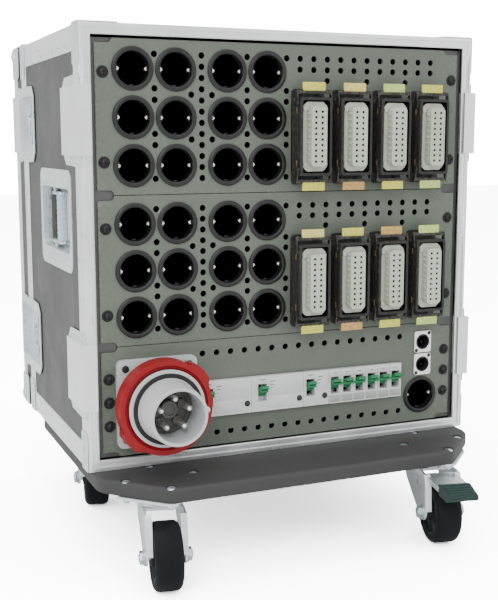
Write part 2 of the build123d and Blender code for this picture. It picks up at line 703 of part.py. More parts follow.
with BuildPart() as handle_dishes:
    half_y, half_z = HANDLE_MOUTH[0] / 2, HANDLE_MOUTH[1] / 2
    for side in (-1, 1):
        plate_x = sorted((side * WALL_X, side * (WALL_X + SHEET)))
        with BuildSketch(Plane.YZ.offset(plate_x[0])):
            with Locations((PANEL_Y + HANDLE_C[0], PANEL_Z + HANDLE_C[1])):
                RectangleRounded(HANDLE_FLANGE[0], HANDLE_FLANGE[1], 14)
        extrude(amount=SHEET)
        block(
            sorted((side * (PAN_X - SHEET), side * WALL_X)),
            (HANDLE_C[0] - half_y - SHEET, HANDLE_C[0] + half_y + SHEET),
            (HANDLE_C[1] - half_z - SHEET, HANDLE_C[1] + half_z + SHEET),
        )
        block(
            sorted((side * PAN_X, side * (WALL_X + 2 * SHEET))),
            (HANDLE_C[0] - half_y, HANDLE_C[0] + half_y),
            (HANDLE_C[1] - half_z, HANDLE_C[1] + half_z),
            Mode.SUBTRACT,
        )
        with Locations((side * GRIP_X, PANEL_Y + GRIP_PIVOT_Y, PANEL_Z + HANDLE_C[1])):
            Cylinder(GRIP_PIN_D / 2 + RUN_GAP, HANDLE_MOUTH[1] + 4 * SHEET, mode=Mode.SUBTRACT)
save(handle_dishes, "handle_dishes")

for hand, side in (("left", -1), ("right", 1)):
    grip_at = (side * GRIP_X, PANEL_Y + HANDLE_C[0])
    pivot_at = (side * GRIP_X, PANEL_Y + GRIP_PIVOT_Y)
    middle = PANEL_Z + HANDLE_C[1]
    with BuildPart() as grip:
        with Locations((*grip_at, middle)):
            Cylinder(GRIP_D / 2, 2 * GRIP_HALF)
        for way in (-1, 1):
            with BuildSketch(Plane.XY.offset(middle + way * (GRIP_HALF + 2) - 2)):
                with Locations((side * GRIP_X, PANEL_Y + (HANDLE_C[0] + GRIP_PIVOT_Y) / 2)):
                    SlotCenterToCenter(GRIP_ARM, 9, rotation=90)
            extrude(amount=4)
        with Locations((*pivot_at, middle)):
            Cylinder(GRIP_PIN_D / 2, HANDLE_MOUTH[1] + 2 * SHEET)
        pin_clear = GRIP_HALF - PART_GAP
        block(
            sorted((side * (GRIP_X - GRIP_D / 2), side * (GRIP_X + GRIP_D / 2))),
            (GRIP_PIVOT_Y - GRIP_PIN_D, GRIP_PIVOT_Y + GRIP_PIN_D),
            (HANDLE_C[1] - pin_clear, HANDLE_C[1] + pin_clear),
            Mode.SUBTRACT,
        )
    save(grip, f"handle_grip_{hand}")

# ---------------------------------------------------------------- rack panels
NOTCH = (40.0, 12.0)  # the slotted corner notches, counted over two panels and both sides
TRAY_INSET = 4.0


def panel_blank(row):
    """Sketch a rack panel's outline with its corner notches and screw holes in the open sketch."""
    base = panel_base(row)
    tall = PANEL_UNITS[row] * RACK_U
    middle = base + tall / 2
    with Locations((0, middle)):
        Rectangle(RACK_PANEL_W, tall - PANEL_PLAY)
    with Locations((0, middle)):
        with GridLocations(RACK_PANEL_W, tall, 2, 2):
            SlotOverall(*NOTCH, mode=Mode.SUBTRACT)
    with Locations(*[(x, z) for x, z in RACK_SCREWS if base < z < base + tall]):
        Circle(SCREW_D / 2 + FIT_GAP, mode=Mode.SUBTRACT)


def outlet_vents(base):
    """Centres of an outlet panel's ventilation holes."""
    def z_at(step):
        return base + VENT_Z_TOP - VENT_Z_PITCH * step

    holes = [(SOCKET_GRID_X, z_at(step)) for step in range(12)]
    side_columns = [SOCKET_GRID_X + shift for shift in VENT_COLUMNS]
    holes += [(x, z_at(step)) for x in side_columns for step in (0, 3, 4, 7, 8, 11)]
    flanks = [SOCKET_GRID_X + side * VENT_FLANK for side in (-1, 1)]
    holes += [(x, z_at(step)) for x in flanks for step in (3.5, 7.5)]
    columns = [VENT_X_FIRST + VENT_X_PITCH * step for step in range(11)]
    holes += [(x, z_at(step)) for x in columns for step in (0, 1)]
    return holes + [(columns[step], z_at(2)) for step in (2, 5, 8)]


def tray(row):
    """Make the folded sheet box behind a panel, open towards it."""
    base = panel_base(row)
    z = (base + TRAY_INSET, base + PANEL_UNITS[row] * RACK_U - TRAY_INSET)
    start = PANEL_T + PART_GAP
    with BuildPart() as box:
        block((-TRAY_HALF, TRAY_HALF), (start, TRAY_D), z)
        inside = (-TRAY_HALF + SHEET, TRAY_HALF - SHEET)
        block(inside, (start - 1, TRAY_D - SHEET), (z[0] + SHEET, z[1] - SHEET), Mode.SUBTRACT)
    return box.part


outlet_trays = [tray(row) for row in OUTLET_ROWS]
with BuildPart() as outlet_panels:
    for row in OUTLET_ROWS:
        base = panel_base(row)
        with BuildSketch(FRONT):
            panel_blank(row)
            with Locations(*socket_centres(base)):
                Circle(SOCKET_BODY_D / 2 + FIT_GAP, mode=Mode.SUBTRACT)
            with Locations(*outlet_vents(base)):
                Circle(VENT_D / 2, mode=Mode.SUBTRACT)
            with Locations(*plug_centres(base)):
                Rectangle(INSERT_W + 2 * FIT_GAP, INSERT_L + 2 * FIT_GAP, mode=Mode.SUBTRACT)
        extrude(amount=-PANEL_T)
    for box in outlet_trays:
        add(box)
save(outlet_panels, "outlet_panels")

LOW_VENTS = [
    (VENT_X_FIRST + VENT_X_PITCH * step, height)
    for height, first in zip(LOW_VENT_Z, (-7, -6))
    for step in range(first, 9)
]
inlet_tray = tray(0)
with BuildPart() as inlet_panel:
    with BuildSketch(FRONT):
        panel_blank(0)
        with Locations(LONE_SOCKET):
            Circle(SOCKET_BODY_D / 2 + FIT_GAP, mode=Mode.SUBTRACT)
        with Locations(INLET_C):
            Circle(INLET_BODY[0] / 2 + FIT_GAP, mode=Mode.SUBTRACT)
            with GridLocations(*INLET_SCREWS, 2, 2):
                Circle(INLET_SCREW_D / 2 + FIT_GAP, mode=Mode.SUBTRACT)
        with Locations((sum(BREAKER_X) / 2, BREAKER_Z)):
            Rectangle(BREAKER_X[1] - BREAKER_X[0], BREAKER_WINDOW + 2 * FIT_GAP, mode=Mode.SUBTRACT)
        with Locations(*[(SIGNAL_X, z) for z in SIGNAL_Z]):
            Circle(SIGNAL_BARREL_D / 2 + FIT_GAP, mode=Mode.SUBTRACT)
        with Locations(*LOW_VENTS):
            Circle(VENT_D / 2, mode=Mode.SUBTRACT)
    extrude(amount=-PANEL_T)
    add(inlet_tray)
save(inlet_panel, "inlet_panel")

# ---------------------------------------------------------------- round sockets
with BuildPart() as panel_sockets:
    with BuildSketch(FRONT):
        with Locations(*SOCKETS):
            Circle(SOCKET_D / 2)
    extrude(amount=SOCKET_FLANGE_T)
    fillet(panel_sockets.faces().sort_by(Axis.Y)[: len(SOCKETS)].edges(), SOCKET_EDGE)
    with BuildSketch(FRONT):
        with Locations(*SOCKETS):
            Circle(SOCKET_BODY_D / 2)
    extrude(amount=-SOCKET_DEPTH)
    with BuildSketch(FRONT.offset(SOCKET_FLANGE_T)):
        with Locations(*SOCKETS):
            Circle(SOCKET_RECESS_D / 2)
    extrude(amount=-SOCKET_RECESS, mode=Mode.SUBTRACT)
    recess_floor = FRONT.offset(SOCKET_FLANGE_T - SOCKET_RECESS)
    with BuildSketch(recess_floor):
        with Locations(*SOCKETS):
            with GridLocations(1, SOCKET_PIN_PITCH, 1, 2):
                Circle(SOCKET_PIN[0] / 2)
    extrude(amount=-SOCKET_PIN[1], mode=Mode.SUBTRACT)
    with BuildSketch(recess_floor):
        with Locations(*SOCKETS):
            with GridLocations(SOCKET_RECESS_D - EARTH_CLIP[0] + 2 * FIT_GAP, 1, 2, 1):
                Rectangle(*EARTH_CLIP)
    extrude(amount=EARTH_CLIP_H)
    signals = [(SIGNAL_X, z) for z in SIGNAL_Z]
    with BuildSketch(FRONT):
        with Locations(*signals):
            RectangleRounded(*SIGNAL_PLATE, 3)
    extrude(amount=SIGNAL_PLATE_T)
    with BuildSketch(FRONT):
        with Locations(*signals):
            Circle(SIGNAL_BARREL_D / 2)
    extrude(amount=-SIGNAL_DEPTH[0])
    with BuildSketch(FRONT.offset(SIGNAL_PLATE_T)):
        with Locations(*signals):
            Circle(SIGNAL_BORE_D / 2)
    extrude(amount=-SIGNAL_DEPTH[1], mode=Mode.SUBTRACT)
save(panel_sockets, "panel_sockets")

# ---------------------------------------------------------------- multi-pin connectors
CAVITY = (HOUSING_W - 2 * HOUSING_WALL, HOUSING_L - 2 * HOUSING_WALL)
PIVOT_OUT, PIVOT_UP = LEVER_PIVOT
ARM_X = (HOUSING_W / 2 + MOVE_GAP, HOUSING_W / 2 + MOVE_GAP + LEVER_T)
PEG_X = HOUSING_W / 2 + MOVE_GAP + LEVER_T + 0.5

with BuildPart() as multipin_housings:
    with BuildSketch(FRONT):
        with Locations(*PLUGS):
            RectangleRounded(HOUSING_W, HOUSING_FLANGE_L, 5)
    extrude(amount=HOUSING_FLANGE_T)
    with BuildSketch(FRONT):
        with Locations(*PLUGS):
            RectangleRounded(HOUSING_W, HOUSING_L, 5)
    extrude(amount=HOUSING_H)
    with BuildSketch(FRONT.offset(HOUSING_H)):
        with Locations(*PLUGS):
            RectangleRounded(*CAVITY, 3)
    extrude(amount=-2 * HOUSING_H, mode=Mode.SUBTRACT)
    for plug_x, plug_z in PLUGS:
        for end in (-1, 1):
            for side in (-1, 1):
                at = (plug_x + side * (PEG_X + HOUSING_W / 2) / 2, PANEL_Y - PIVOT_OUT)
                with Locations((*at, PANEL_Z + plug_z + end * PIVOT_UP)):
                    Cylinder(LEVER_PEG_D / 2, PEG_X - HOUSING_W / 2, rotation=(0, 90, 0))
save(multipin_housings, "multipin_housings")

BLOCK_W = 21.0
BLOCK_L = 72.0
BLOCK_FACE = 35.0
CONTACT_D = 3.4
CONTACT_PITCH = (8.6, 6.6)
CONTACT_DEPTH = 12.0
INSERT_SHELF = INSERT_FACE - 1.5
INSERT_TAIL = 15.0  # behind the panel face

with BuildPart() as multipin_inserts:
    with BuildSketch(FRONT.offset(-INSERT_TAIL)):
        with Locations(*PLUGS):
            RectangleRounded(INSERT_W, INSERT_L, 2)
    extrude(amount=INSERT_TAIL + INSERT_SHELF)
    with BuildSketch(FRONT.offset(INSERT_SHELF)):
        with Locations(*PLUGS):
            RectangleRounded(BLOCK_W, BLOCK_L, 4)
    extrude(amount=BLOCK_FACE - INSERT_SHELF)
    with BuildSketch(FRONT.offset(BLOCK_FACE)):
        with Locations(*PLUGS):
            with GridLocations(*CONTACT_PITCH, 2, 10):
                Circle(CONTACT_D / 2)
    extrude(amount=-CONTACT_DEPTH, mode=Mode.SUBTRACT)
save(multipin_inserts, "multipin_inserts")

LEVERS = {
    f"{('lower', 'upper')[index // PLUG_COUNT]}_{index % PLUG_COUNT + 1}_{tag}": (*centre, end)
    for index, centre in enumerate(PLUGS)
    for end, tag in ((1, "top"), (-1, "bottom"))
}
ARM_HALF = 4.5
BOW = (LEVER_REACH, LEVER_REACH + 4.8)
BOW_T = 3.0
PAD_W = 31.0

for lever_name, (plug_x, plug_z, end) in LEVERS.items():
    pivot_z = plug_z + end * PIVOT_UP
    with BuildPart() as lever:
        for side in (-1, 1):
            arm = sorted((plug_x + side * ARM_X[0], plug_x + side * ARM_X[1]))
            with Locations((sum(arm) / 2, PANEL_Y - PIVOT_OUT, PANEL_Z + pivot_z)):
                Cylinder(ARM_HALF, LEVER_T, rotation=(0, 90, 0))
            arm_y = (-PIVOT_OUT - ARM_HALF, -PIVOT_OUT + ARM_HALF)
            block(arm, arm_y, sorted((pivot_z, pivot_z + end * BOW[1])))
        across = (plug_x - ARM_X[1], plug_x + ARM_X[1])
        bow_y = (-PIVOT_OUT - BOW_T / 2, -PIVOT_OUT + BOW_T / 2)
        block(across, bow_y, sorted((pivot_z + end * BOW[0], pivot_z + end * BOW[1])))
        pad_y = (bow_y[0], bow_y[0] + 2)
        pad_z = sorted((pivot_z + end * BOW[0], pivot_z + end * LEVER_TIP))
        block((plug_x - PAD_W / 2, plug_x + PAD_W / 2), pad_y, pad_z)
        with Locations((plug_x, PANEL_Y - PIVOT_OUT, PANEL_Z + pivot_z)):
            Cylinder(LEVER_PEG_D / 2 + RUN_GAP, 2 * HOUSING_W, rotation=(0, 90, 0), mode=Mode.SUBTRACT)
    save(lever, f"lever_{lever_name}")

# ---------------------------------------------------------------- supply inlet
LIP_D = COLLAR_D + 3.6
LIP_Y = (RING_Y[1] + MOVE_GAP, RING_Y[1] + MOVE_GAP + 2.6)

with BuildPart() as supply_inlet:
    with BuildSketch(FRONT):
        with Locations(INLET_C):
            RectangleRounded(*INLET_FLANGE, 7)
            with GridLocations(*INLET_SCREWS, 2, 2):
                Circle(INLET_SCREW_D / 2 + FIT_GAP, mode=Mode.SUBTRACT)
    extrude(amount=INLET_FLANGE_T)
    for radius, start, end in (
        (INLET_BODY[0] / 2, -INLET_BODY[1], 0),
        (COLLAR_D / 2 + 5, INLET_FLANGE_T, RING_Y[0] - MOVE_GAP),
        (COLLAR_D / 2, RING_Y[0] - MOVE_GAP, LIP_Y[0]),
        (LIP_D / 2, LIP_Y[0], LIP_Y[1]),
    ):
        with BuildSketch(FRONT.offset(start)):
            with Locations(INLET_C):
                Circle(radius)
        extrude(amount=end - start)
    for plane, diameter in ((LIP_Y[1], SHROUD_D[0]), (SHROUD_MOUTH, SHROUD_D[1])):
        with BuildSketch(FRONT.offset(plane)):
            with Locations(INLET_C):
                Circle(diameter / 2)
    loft()
    with BuildSketch(FRONT.offset(SHROUD_MOUTH)):
        with Locations(INLET_C):
            Circle(SHROUD_BORE / 2)
    extrude(amount=SHROUD_FLOOR - SHROUD_MOUTH, mode=Mode.SUBTRACT)
    with BuildSketch(FRONT.offset(SHROUD_FLOOR)):
        with Locations(INLET_C):
            with PolarLocations(PIN_CIRCLE / 2, 5, start_angle=90):
                Circle(PIN_D / 2)
    extrude(amount=PIN_TIP - SHROUD_FLOOR)
    with BuildSketch(FRONT.offset(SHROUD_MOUTH)):
        with Locations(INLET_C):
            with PolarLocations(SHROUD_D[1] / 2 + 1, 1, start_angle=KEY_BUMP[2]):
                Circle(KEY_BUMP[0] / 2)
            Circle(SHROUD_BORE / 2, mode=Mode.SUBTRACT)
    extrude(amount=-KEY_BUMP[1])
save(supply_inlet, "supply_inlet")

with BuildPart() as bayonet_ring:
    with BuildSketch(FRONT.offset(RING_Y[0])):
        with Locations(INLET_C):
            Circle(RING_D / 2)
            with PolarLocations(RING_D / 2 - 3, 2, start_angle=LUG_ANGLE):
                Rectangle(*LUG)
            Circle(COLLAR_D / 2 + MOVE_GAP, mode=Mode.SUBTRACT)
    extrude(amount=RING_Y[1] - RING_Y[0])
save(bayonet_ring, "bayonet_ring")

# ---------------------------------------------------------------- breakers
STEP_HALF = BREAKER_WINDOW / 2
TOGGLE_Z = BREAKER_Z + 1.5
SLOT_HALF_W = TOGGLE_W / 2 + MOVE_GAP
SLOT_Z = (TOGGLE_Z - TOGGLE_SLOT / 2, TOGGLE_Z + TOGGLE_SLOT / 2)
RCD_TOGGLE_X = [left + TOGGLE_FROM[right - left <= 2 * MODULE_W] for left, right in RCDS]
BUTTONS = [(right - BUTTON_FROM[0], BREAKER_Z - BUTTON_FROM[1]) for left, right in RCDS]
MCB_TOGGLE_X = [
    [left + MODULE_W * (step + 0.5) for step in range(count)]
    for (left, right), count in zip(MCBS, MCB_MODULES)
]
TOGGLE_PIN_D = 3.0


def toggle_slots(columns):
    """Cut the slots and the pivot hole for one handle in the open breaker."""
    for x in columns:
        slot_x = (x - SLOT_HALF_W, x + SLOT_HALF_W)
        slot_y = (-BREAKER_FACE - 1, TOGGLE_AXIS + TOGGLE_R + MOVE_GAP)
        block(slot_x, slot_y, SLOT_Z, Mode.SUBTRACT)
    span = columns[-1] - columns[0] + TOGGLE_W + 4
    with Locations((sum(columns) / len(columns), PANEL_Y + TOGGLE_AXIS, PANEL_Z + TOGGLE_Z)):
        Cylinder(TOGGLE_PIN_D / 2 + RUN_GAP, span, rotation=(0, 90, 0), mode=Mode.SUBTRACT)


with BuildPart() as breakers:
    behind = PANEL_T + FIT_GAP
    for left, right in RCDS + MCBS:
        body_x = (left + PART_GAP, right - PART_GAP)
        block(body_x, (behind, BREAKER_DEPTH), (BREAKER_Z - BREAKER_H / 2, BREAKER_Z + BREAKER_H / 2))
        block(body_x, (-BREAKER_FACE, behind), (BREAKER_Z - STEP_HALF, BREAKER_Z + STEP_HALF))
    for columns in [[x] for x in RCD_TOGGLE_X] + MCB_TOGGLE_X:
        toggle_slots(columns)
    with BuildSketch(FRONT.offset(BREAKER_FACE)):
        with Locations(*BUTTONS):
            Circle(BUTTON_D / 2 + MOVE_GAP)
    extrude(amount=-(BREAKER_FACE + BUTTON_TAIL + BUTTON_TRAVEL + MOVE_GAP), mode=Mode.SUBTRACT)
    over, rail_t, rail_h = RAIL_SIZE
    rail_x = (BREAKER_X[0] - over, BREAKER_X[1] + over)
    rail_y = (BREAKER_DEPTH + PART_GAP, BREAKER_DEPTH + PART_GAP + rail_t)
    block(rail_x, rail_y, (BREAKER_Z - rail_h / 2, BREAKER_Z + rail_h / 2))
save(breakers, "breakers")


def toggle(columns):
    """Make one handle: a barrel and a blade for each pole, and a bar that ties the poles."""
    rise = cos(radians(TOGGLE_UP)), sin(radians(TOGGLE_UP))
    with BuildPart() as handle:
        for x in columns:
            with BuildSketch(Plane.YZ.offset(x - TOGGLE_W / 2)):
                with Locations((PANEL_Y + TOGGLE_AXIS, PANEL_Z + TOGGLE_Z)):
                    Circle(TOGGLE_R)
                middle = TOGGLE_REACH / 2
                centre = (
                    PANEL_Y + TOGGLE_AXIS - middle * rise[0],
                    PANEL_Z + TOGGLE_Z + middle * rise[1],
                )
                with Locations(centre):
                    Rectangle(TOGGLE_REACH, TOGGLE_BLADE, rotation=-TOGGLE_UP)
            extrude(amount=TOGGLE_W)
        first, last = columns[0], columns[-1]
        bar_reach, below, bar_r = TIE_BAR
        bar_rise = radians(TOGGLE_UP - below)
        at = (PANEL_Y + TOGGLE_AXIS - bar_reach * cos(bar_rise), PANEL_Z + TOGGLE_Z + bar_reach * sin(bar_rise))
        with Locations(((first + last) / 2, *at)):
            Cylinder(bar_r, last - first + TOGGLE_W, rotation=(0, 90, 0))
        with Locations(((first + last) / 2, PANEL_Y + TOGGLE_AXIS, PANEL_Z + TOGGLE_Z)):
            Cylinder(TOGGLE_PIN_D / 2, last - first + TOGGLE_W + 3, rotation=(0, 90, 0))
    return handle


for index, x in enumerate(RCD_TOGGLE_X):
    save(toggle([x]), f"rcd_toggle_{index + 1}")
for index, columns in enumerate(MCB_TOGGLE_X):
    save(toggle(columns), f"mcb_handle_{index + 1}")
for index, centre in enumerate(BUTTONS):
    with BuildPart() as button:
        with BuildSketch(FRONT.offset(-BUTTON_TAIL)):
            with Locations(centre):
                Circle(BUTTON_D / 2)
        extrude(amount=BUTTON_TAIL + BREAKER_FACE + BUTTON_PROUD)
    save(button, f"test_button_{index + 1}")

# ---------------------------------------------------------------- screws and bolts
with BuildPart() as bolt_shape:
    with BuildSketch(Plane.XY.offset(BOARD_TOP - HEAD_T)):
        Circle(HEAD_D / 2)
    extrude(amount=HEAD_T)
    with BuildSketch(Plane.XY.offset(BOARD_TOP)):
        Circle(CASTOR_BOLT_D / 2)
    extrude(amount=-(BOARD_T + CASTOR_PLATE_T + BOLT_END))
    with BuildSketch(Plane.XY.offset(PLATE_Z - PART_GAP)):
        RegularPolygon(BOLT_NUT[0], 6)
    extrude(amount=-BOLT_NUT[1])

CUP_D, CUP_T = SCREW_CUP
SCREW_HEAD_D, SCREW_PROUD = SCREW_HEAD
INLET_HEAD_D, INLET_HEAD_T = INLET_SCREW_HEAD
INLET_HEAD_Y = INLET_FLANGE_T + INLET_HEAD_T

with BuildPart() as fasteners:
    for plate_place in PLATE_PLACES:
        with Locations(plate_place):
            with GridLocations(CASTOR_BOLT_PITCH, CASTOR_BOLT_PITCH, 2, 2):
                add(bolt_shape.part)
    for diameter, end in ((CUP_D, CUP_T), (SCREW_HEAD_D, SCREW_PROUD), (SCREW_D, -SCREW_TAIL)):
        with BuildSketch(FRONT):
            with Locations(*RACK_SCREWS):
                Circle(diameter / 2)
        extrude(amount=end)
    for diameter, end in ((INLET_HEAD_D, INLET_HEAD_Y), (INLET_SCREW_D, -INLET_SCREW_TAIL)):
        with BuildSketch(FRONT.offset(INLET_FLANGE_T)):
            with Locations(INLET_C):
                with GridLocations(*INLET_SCREWS, 2, 2):
                    Circle(diameter / 2)
        extrude(amount=end - INLET_FLANGE_T)
save(fasteners, "fasteners")
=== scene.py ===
"""Looks of a portable power distribution rack in a flight case on a castor board.

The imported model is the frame. Every piece below is built in millimetres in the panel frame, where x runs
from the middle to the right, y back from the panels' front faces and z up from the lowest panel's bottom
edge, and is then scaled to metres and set where the frame's own boxes say.
"""

import logging
from dataclasses import dataclass, field
from enum import Enum
from itertools import product
from math import cos, pi, radians, sin, tan
from typing import Iterable, Sequence

import bmesh
import bpy
from mathutils import Matrix, Vector


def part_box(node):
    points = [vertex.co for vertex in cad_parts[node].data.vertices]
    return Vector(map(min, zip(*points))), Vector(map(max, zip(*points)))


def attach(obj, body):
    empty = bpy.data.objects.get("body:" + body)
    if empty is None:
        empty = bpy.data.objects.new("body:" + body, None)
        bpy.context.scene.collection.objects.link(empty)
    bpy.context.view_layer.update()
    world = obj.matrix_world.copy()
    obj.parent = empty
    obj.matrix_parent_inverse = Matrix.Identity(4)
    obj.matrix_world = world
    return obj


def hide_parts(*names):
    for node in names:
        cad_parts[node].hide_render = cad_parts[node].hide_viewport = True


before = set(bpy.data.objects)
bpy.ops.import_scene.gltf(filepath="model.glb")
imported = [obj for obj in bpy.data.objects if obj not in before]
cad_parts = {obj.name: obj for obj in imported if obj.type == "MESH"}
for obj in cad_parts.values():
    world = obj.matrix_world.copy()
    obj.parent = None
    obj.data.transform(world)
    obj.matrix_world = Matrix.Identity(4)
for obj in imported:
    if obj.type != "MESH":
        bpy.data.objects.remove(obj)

LOG = logging.getLogger("rack")
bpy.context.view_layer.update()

Pair = tuple[float, float]
Outline = list[Pair]
Colour = tuple[float, float, float]

MM = 0.001
ROOT_BODY = "rack"
PANEL_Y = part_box("outlet_panels")[0].y / MM
PANEL_EDGE_PLAY = 0.4  # the lowest panel starts this far above its own rack unit
PANEL_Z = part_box("inlet_panel")[0].z / MM - PANEL_EDGE_PLAY
TO_ROW = Matrix.Scale(MM, 4) @ Matrix.Translation((0, PANEL_Y, PANEL_Z))
SMOOTH_BELOW = radians(36)


class Axis(Enum):
    """The direction that an outline is extruded along."""

    X = 0
    Y = 1
    Z = 2

    def point(self, u: float, v: float, along: float) -> Vector:
        """Place an outline's point (u, v) at a distance along the axis."""
        if self is Axis.X:
            return Vector((along, u, v))
        if self is Axis.Y:
            return Vector((u, along, v))
        return Vector((u, v, along))

    def vector(self) -> Vector:
        """Give the axis as a unit vector."""
        return Vector((self is Axis.X, self is Axis.Y, self is Axis.Z))


# ------------------------------------------------------------------------------------------ outlines
def circle(u: float, v: float, radius: float, steps: int = 32) -> Outline:
    """Make a circle's points."""
    return [(u + radius * cos(2 * pi * i / steps), v + radius * sin(2 * pi * i / steps)) for i in range(steps)]


def rectangle(u: Sequence[float], v: Sequence[float]) -> Outline:
    """Make a rectangle's corners between pairs of u and v."""
    return [(u[0], v[0]), (u[1], v[0]), (u[1], v[1]), (u[0], v[1])]


def rounded(points: Sequence[Pair], radius: float, steps: int = 4) -> Outline:
    """Round every corner of a polygon.

    Args:
        points: The polygon's corners in order.
        radius: How far from each corner the round begins.
        steps: Segments in each round.

    Returns:
        The rounded outline.
    """
    outline = []
    count = len(points)
    for i, corner in enumerate(points):
        here = Vector(corner)
        back = Vector(points[i - 1]) - here
        ahead = Vector(points[(i + 1) % count]) - here
        start = here + back.normalized() * min(radius, back.length * 0.49)
        end = here + ahead.normalized() * min(radius, ahead.length * 0.49)
        for step in range(steps + 1):
            t = step / steps
            mixed = start * (1 - t) ** 2 + here * 2 * t * (1 - t) + end * t**2
            outline.append((mixed.x, mixed.y))
    return outline


def slot(u: float, v: float, length: float, width: float, steps: int = 8) -> Outline:
    """Make a round-ended slot that runs along u."""
    half = (length - width) / 2
    outline = []
    for side in (1, -1):
        for step in range(steps + 1):
            turn = -pi / 2 * side + pi * step / steps * 1.0
            if side < 0:
                turn = pi / 2 + pi * step / steps
            outline.append((u + side * half + width / 2 * cos(turn), v + width / 2 * sin(turn)))
    return outline


# ------------------------------------------------------------------------------------------ the bench
class Bench:
    """A mesh being built, in millimetres in the panel frame."""

    def __init__(self) -> None:
        """Start with an empty mesh."""
        self.bm = bmesh.new()

    def slab(self, x: Sequence[float], y: Sequence[float], z: Sequence[float], soft: float = 0.0, steps: int = 2) -> None:
        """Add a box between pairs of x, y and z, with its edges rounded by soft."""
        low = Vector((min(x), min(y), min(z)))
        high = Vector((max(x), max(y), max(z)))
        matrix = Matrix.Translation((low + high) / 2) @ Matrix.Diagonal((*(high - low), 1.0))
        made = bmesh.ops.create_cube(self.bm, size=1.0, matrix=matrix)["verts"]
        if soft:
            self.soften(self.edges_of(made), soft, steps)

    def edges_of(self, verts: Iterable[bmesh.types.BMVert]) -> list[bmesh.types.BMEdge]:
        """List the edges whose two ends are both in verts."""
        inside = set(verts)
        return [e for e in {e for v in inside for e in v.link_edges} if inside.issuperset(e.verts)]

    def soften(self, edges: list[bmesh.types.BMEdge], width: float, steps: int = 2) -> None:
        """Bevel edges with a round profile."""
        bmesh.ops.bevel(
            self.bm,
            geom=edges,
            offset=width,
            offset_type="OFFSET",
            affect="EDGES",
            segments=steps,
            profile=0.5,
            material=-1,
            clamp_overlap=True,
        )

    def rod(self, start: Sequence[float], end: Sequence[float], radius: float, tip: float | None = None,
            steps: int = 24, soft: float = 0.0) -> None:
        """Add a closed cylinder or cone from start to end.

        Args:
            start: Centre of the first end.
            end: Centre of the second end.
            radius: Radius at the first end.
            tip: Radius at the second end, where it differs.
            steps: Sides round it.
            soft: Width of the round on both rims.
        """
        first, last = Vector(start), Vector(end)
        along = last - first
        turn = Vector((0, 0, 1)).rotation_difference(along).to_matrix().to_4x4()
        made = bmesh.ops.create_cone(
            self.bm,
            cap_ends=True,
            cap_tris=False,
            segments=steps,
            radius1=radius,
            radius2=radius if tip is None else tip,
            depth=along.length,
            matrix=Matrix.Translation((first + last) / 2) @ turn,
        )["verts"]
        if soft:
            rims = [e for e in self.edges_of(made) if len([f for f in e.link_faces if len(f.verts) > 4]) == 1]
            self.soften(rims, soft, 2)

    def lathe(self, profile: Sequence[Pair], centre: Sequence[float], axis: Sequence[float], steps: int = 48) -> None:
        """Spin a profile of (radius, distance along the axis) points into a closed round piece."""
        middle = Vector(centre)
        along = Vector(axis).normalized()
        turn = Vector((0, 0, 1)).rotation_difference(along).to_matrix()
        out = turn @ Vector((1, 0, 0))
        verts = [self.bm.verts.new(middle + out * max(radius, 1e-4) + along * reach) for radius, reach in profile]
        edges = [self.bm.edges.new((a, b)) for a, b in zip(verts, verts[1:] + verts[:1])]
        bmesh.ops.spin(
            self.bm, geom=verts + edges, cent=middle, axis=along, angle=2 * pi, steps=steps, use_merge=True
        )

    def prism(self, outline: Sequence[Pair], axis: Axis, span: Sequence[float], soft: float = 0.0) -> None:
        """Extrude an outline along an axis between the two distances of span."""
        verts = [self.bm.verts.new(axis.point(u, v, span[0])) for u, v in outline]
        face = self.bm.faces.new(verts)
        made = bmesh.ops.extrude_face_region(self.bm, geom=[face])["geom"]
        far = [g for g in made if isinstance(g, bmesh.types.BMVert)]
        bmesh.ops.translate(self.bm, verts=far, vec=axis.vector() * (span[1] - span[0]))
        bmesh.ops.reverse_faces(self.bm, faces=[face])
        if soft:
            rims = {e for e in self.edges_of(verts)} | {e for e in self.edges_of(far)}
            self.soften(list(rims), soft, 2)

    def pierced(self, outline: Sequence[Pair], holes: Sequence[Sequence[Pair]], axis: Axis,
                span: Sequence[float]) -> None:
        """Extrude a flat plate with holes right through it.

        Args:
            outline: The plate's own outline.
            holes: One outline for each hole.
            axis: The direction through the plate.
            span: Where the plate starts and ends along that axis.
        """
        edges = []
        for loop in (outline, *holes):
            verts = [self.bm.verts.new(axis.point(u, v, span[0])) for u, v in loop]
            edges += [self.bm.edges.new((a, b)) for a, b in zip(verts, verts[1:] + verts[:1])]
        filled = bmesh.ops.triangle_fill(
            self.bm, use_beauty=True, use_dissolve=False, edges=edges, normal=axis.vector()
        )["geom"]
        faces = [g for g in filled if isinstance(g, bmesh.types.BMFace)]
        made = bmesh.ops.extrude_face_region(self.bm, geom=faces)["geom"]
        far = [g for g in made if isinstance(g, bmesh.types.BMVert)]
        bmesh.ops.translate(self.bm, verts=far, vec=axis.vector() * (span[1] - span[0]))

    def loops(self, rings: Sequence[Sequence[Vector]], closed: bool) -> None:
        """Bridge rings of the same number of points; closed joins the last to the first, else both are capped."""
        made = []
        for points in rings:
            verts = [self.bm.verts.new(p) for p in points]
            made.append([self.bm.edges.new((a, b)) for a, b in zip(verts, verts[1:] + verts[:1])])
        pairs = list(zip(made, made[1:]))
        if closed:
            pairs.append((made[-1], made[0]))
        else:
            bmesh.ops.contextual_create(self.bm, geom=made[0])
            bmesh.ops.contextual_create(self.bm, geom=made[-1])
        for first, second in pairs:
            bmesh.ops.bridge_loops(self.bm, edges=first + second)

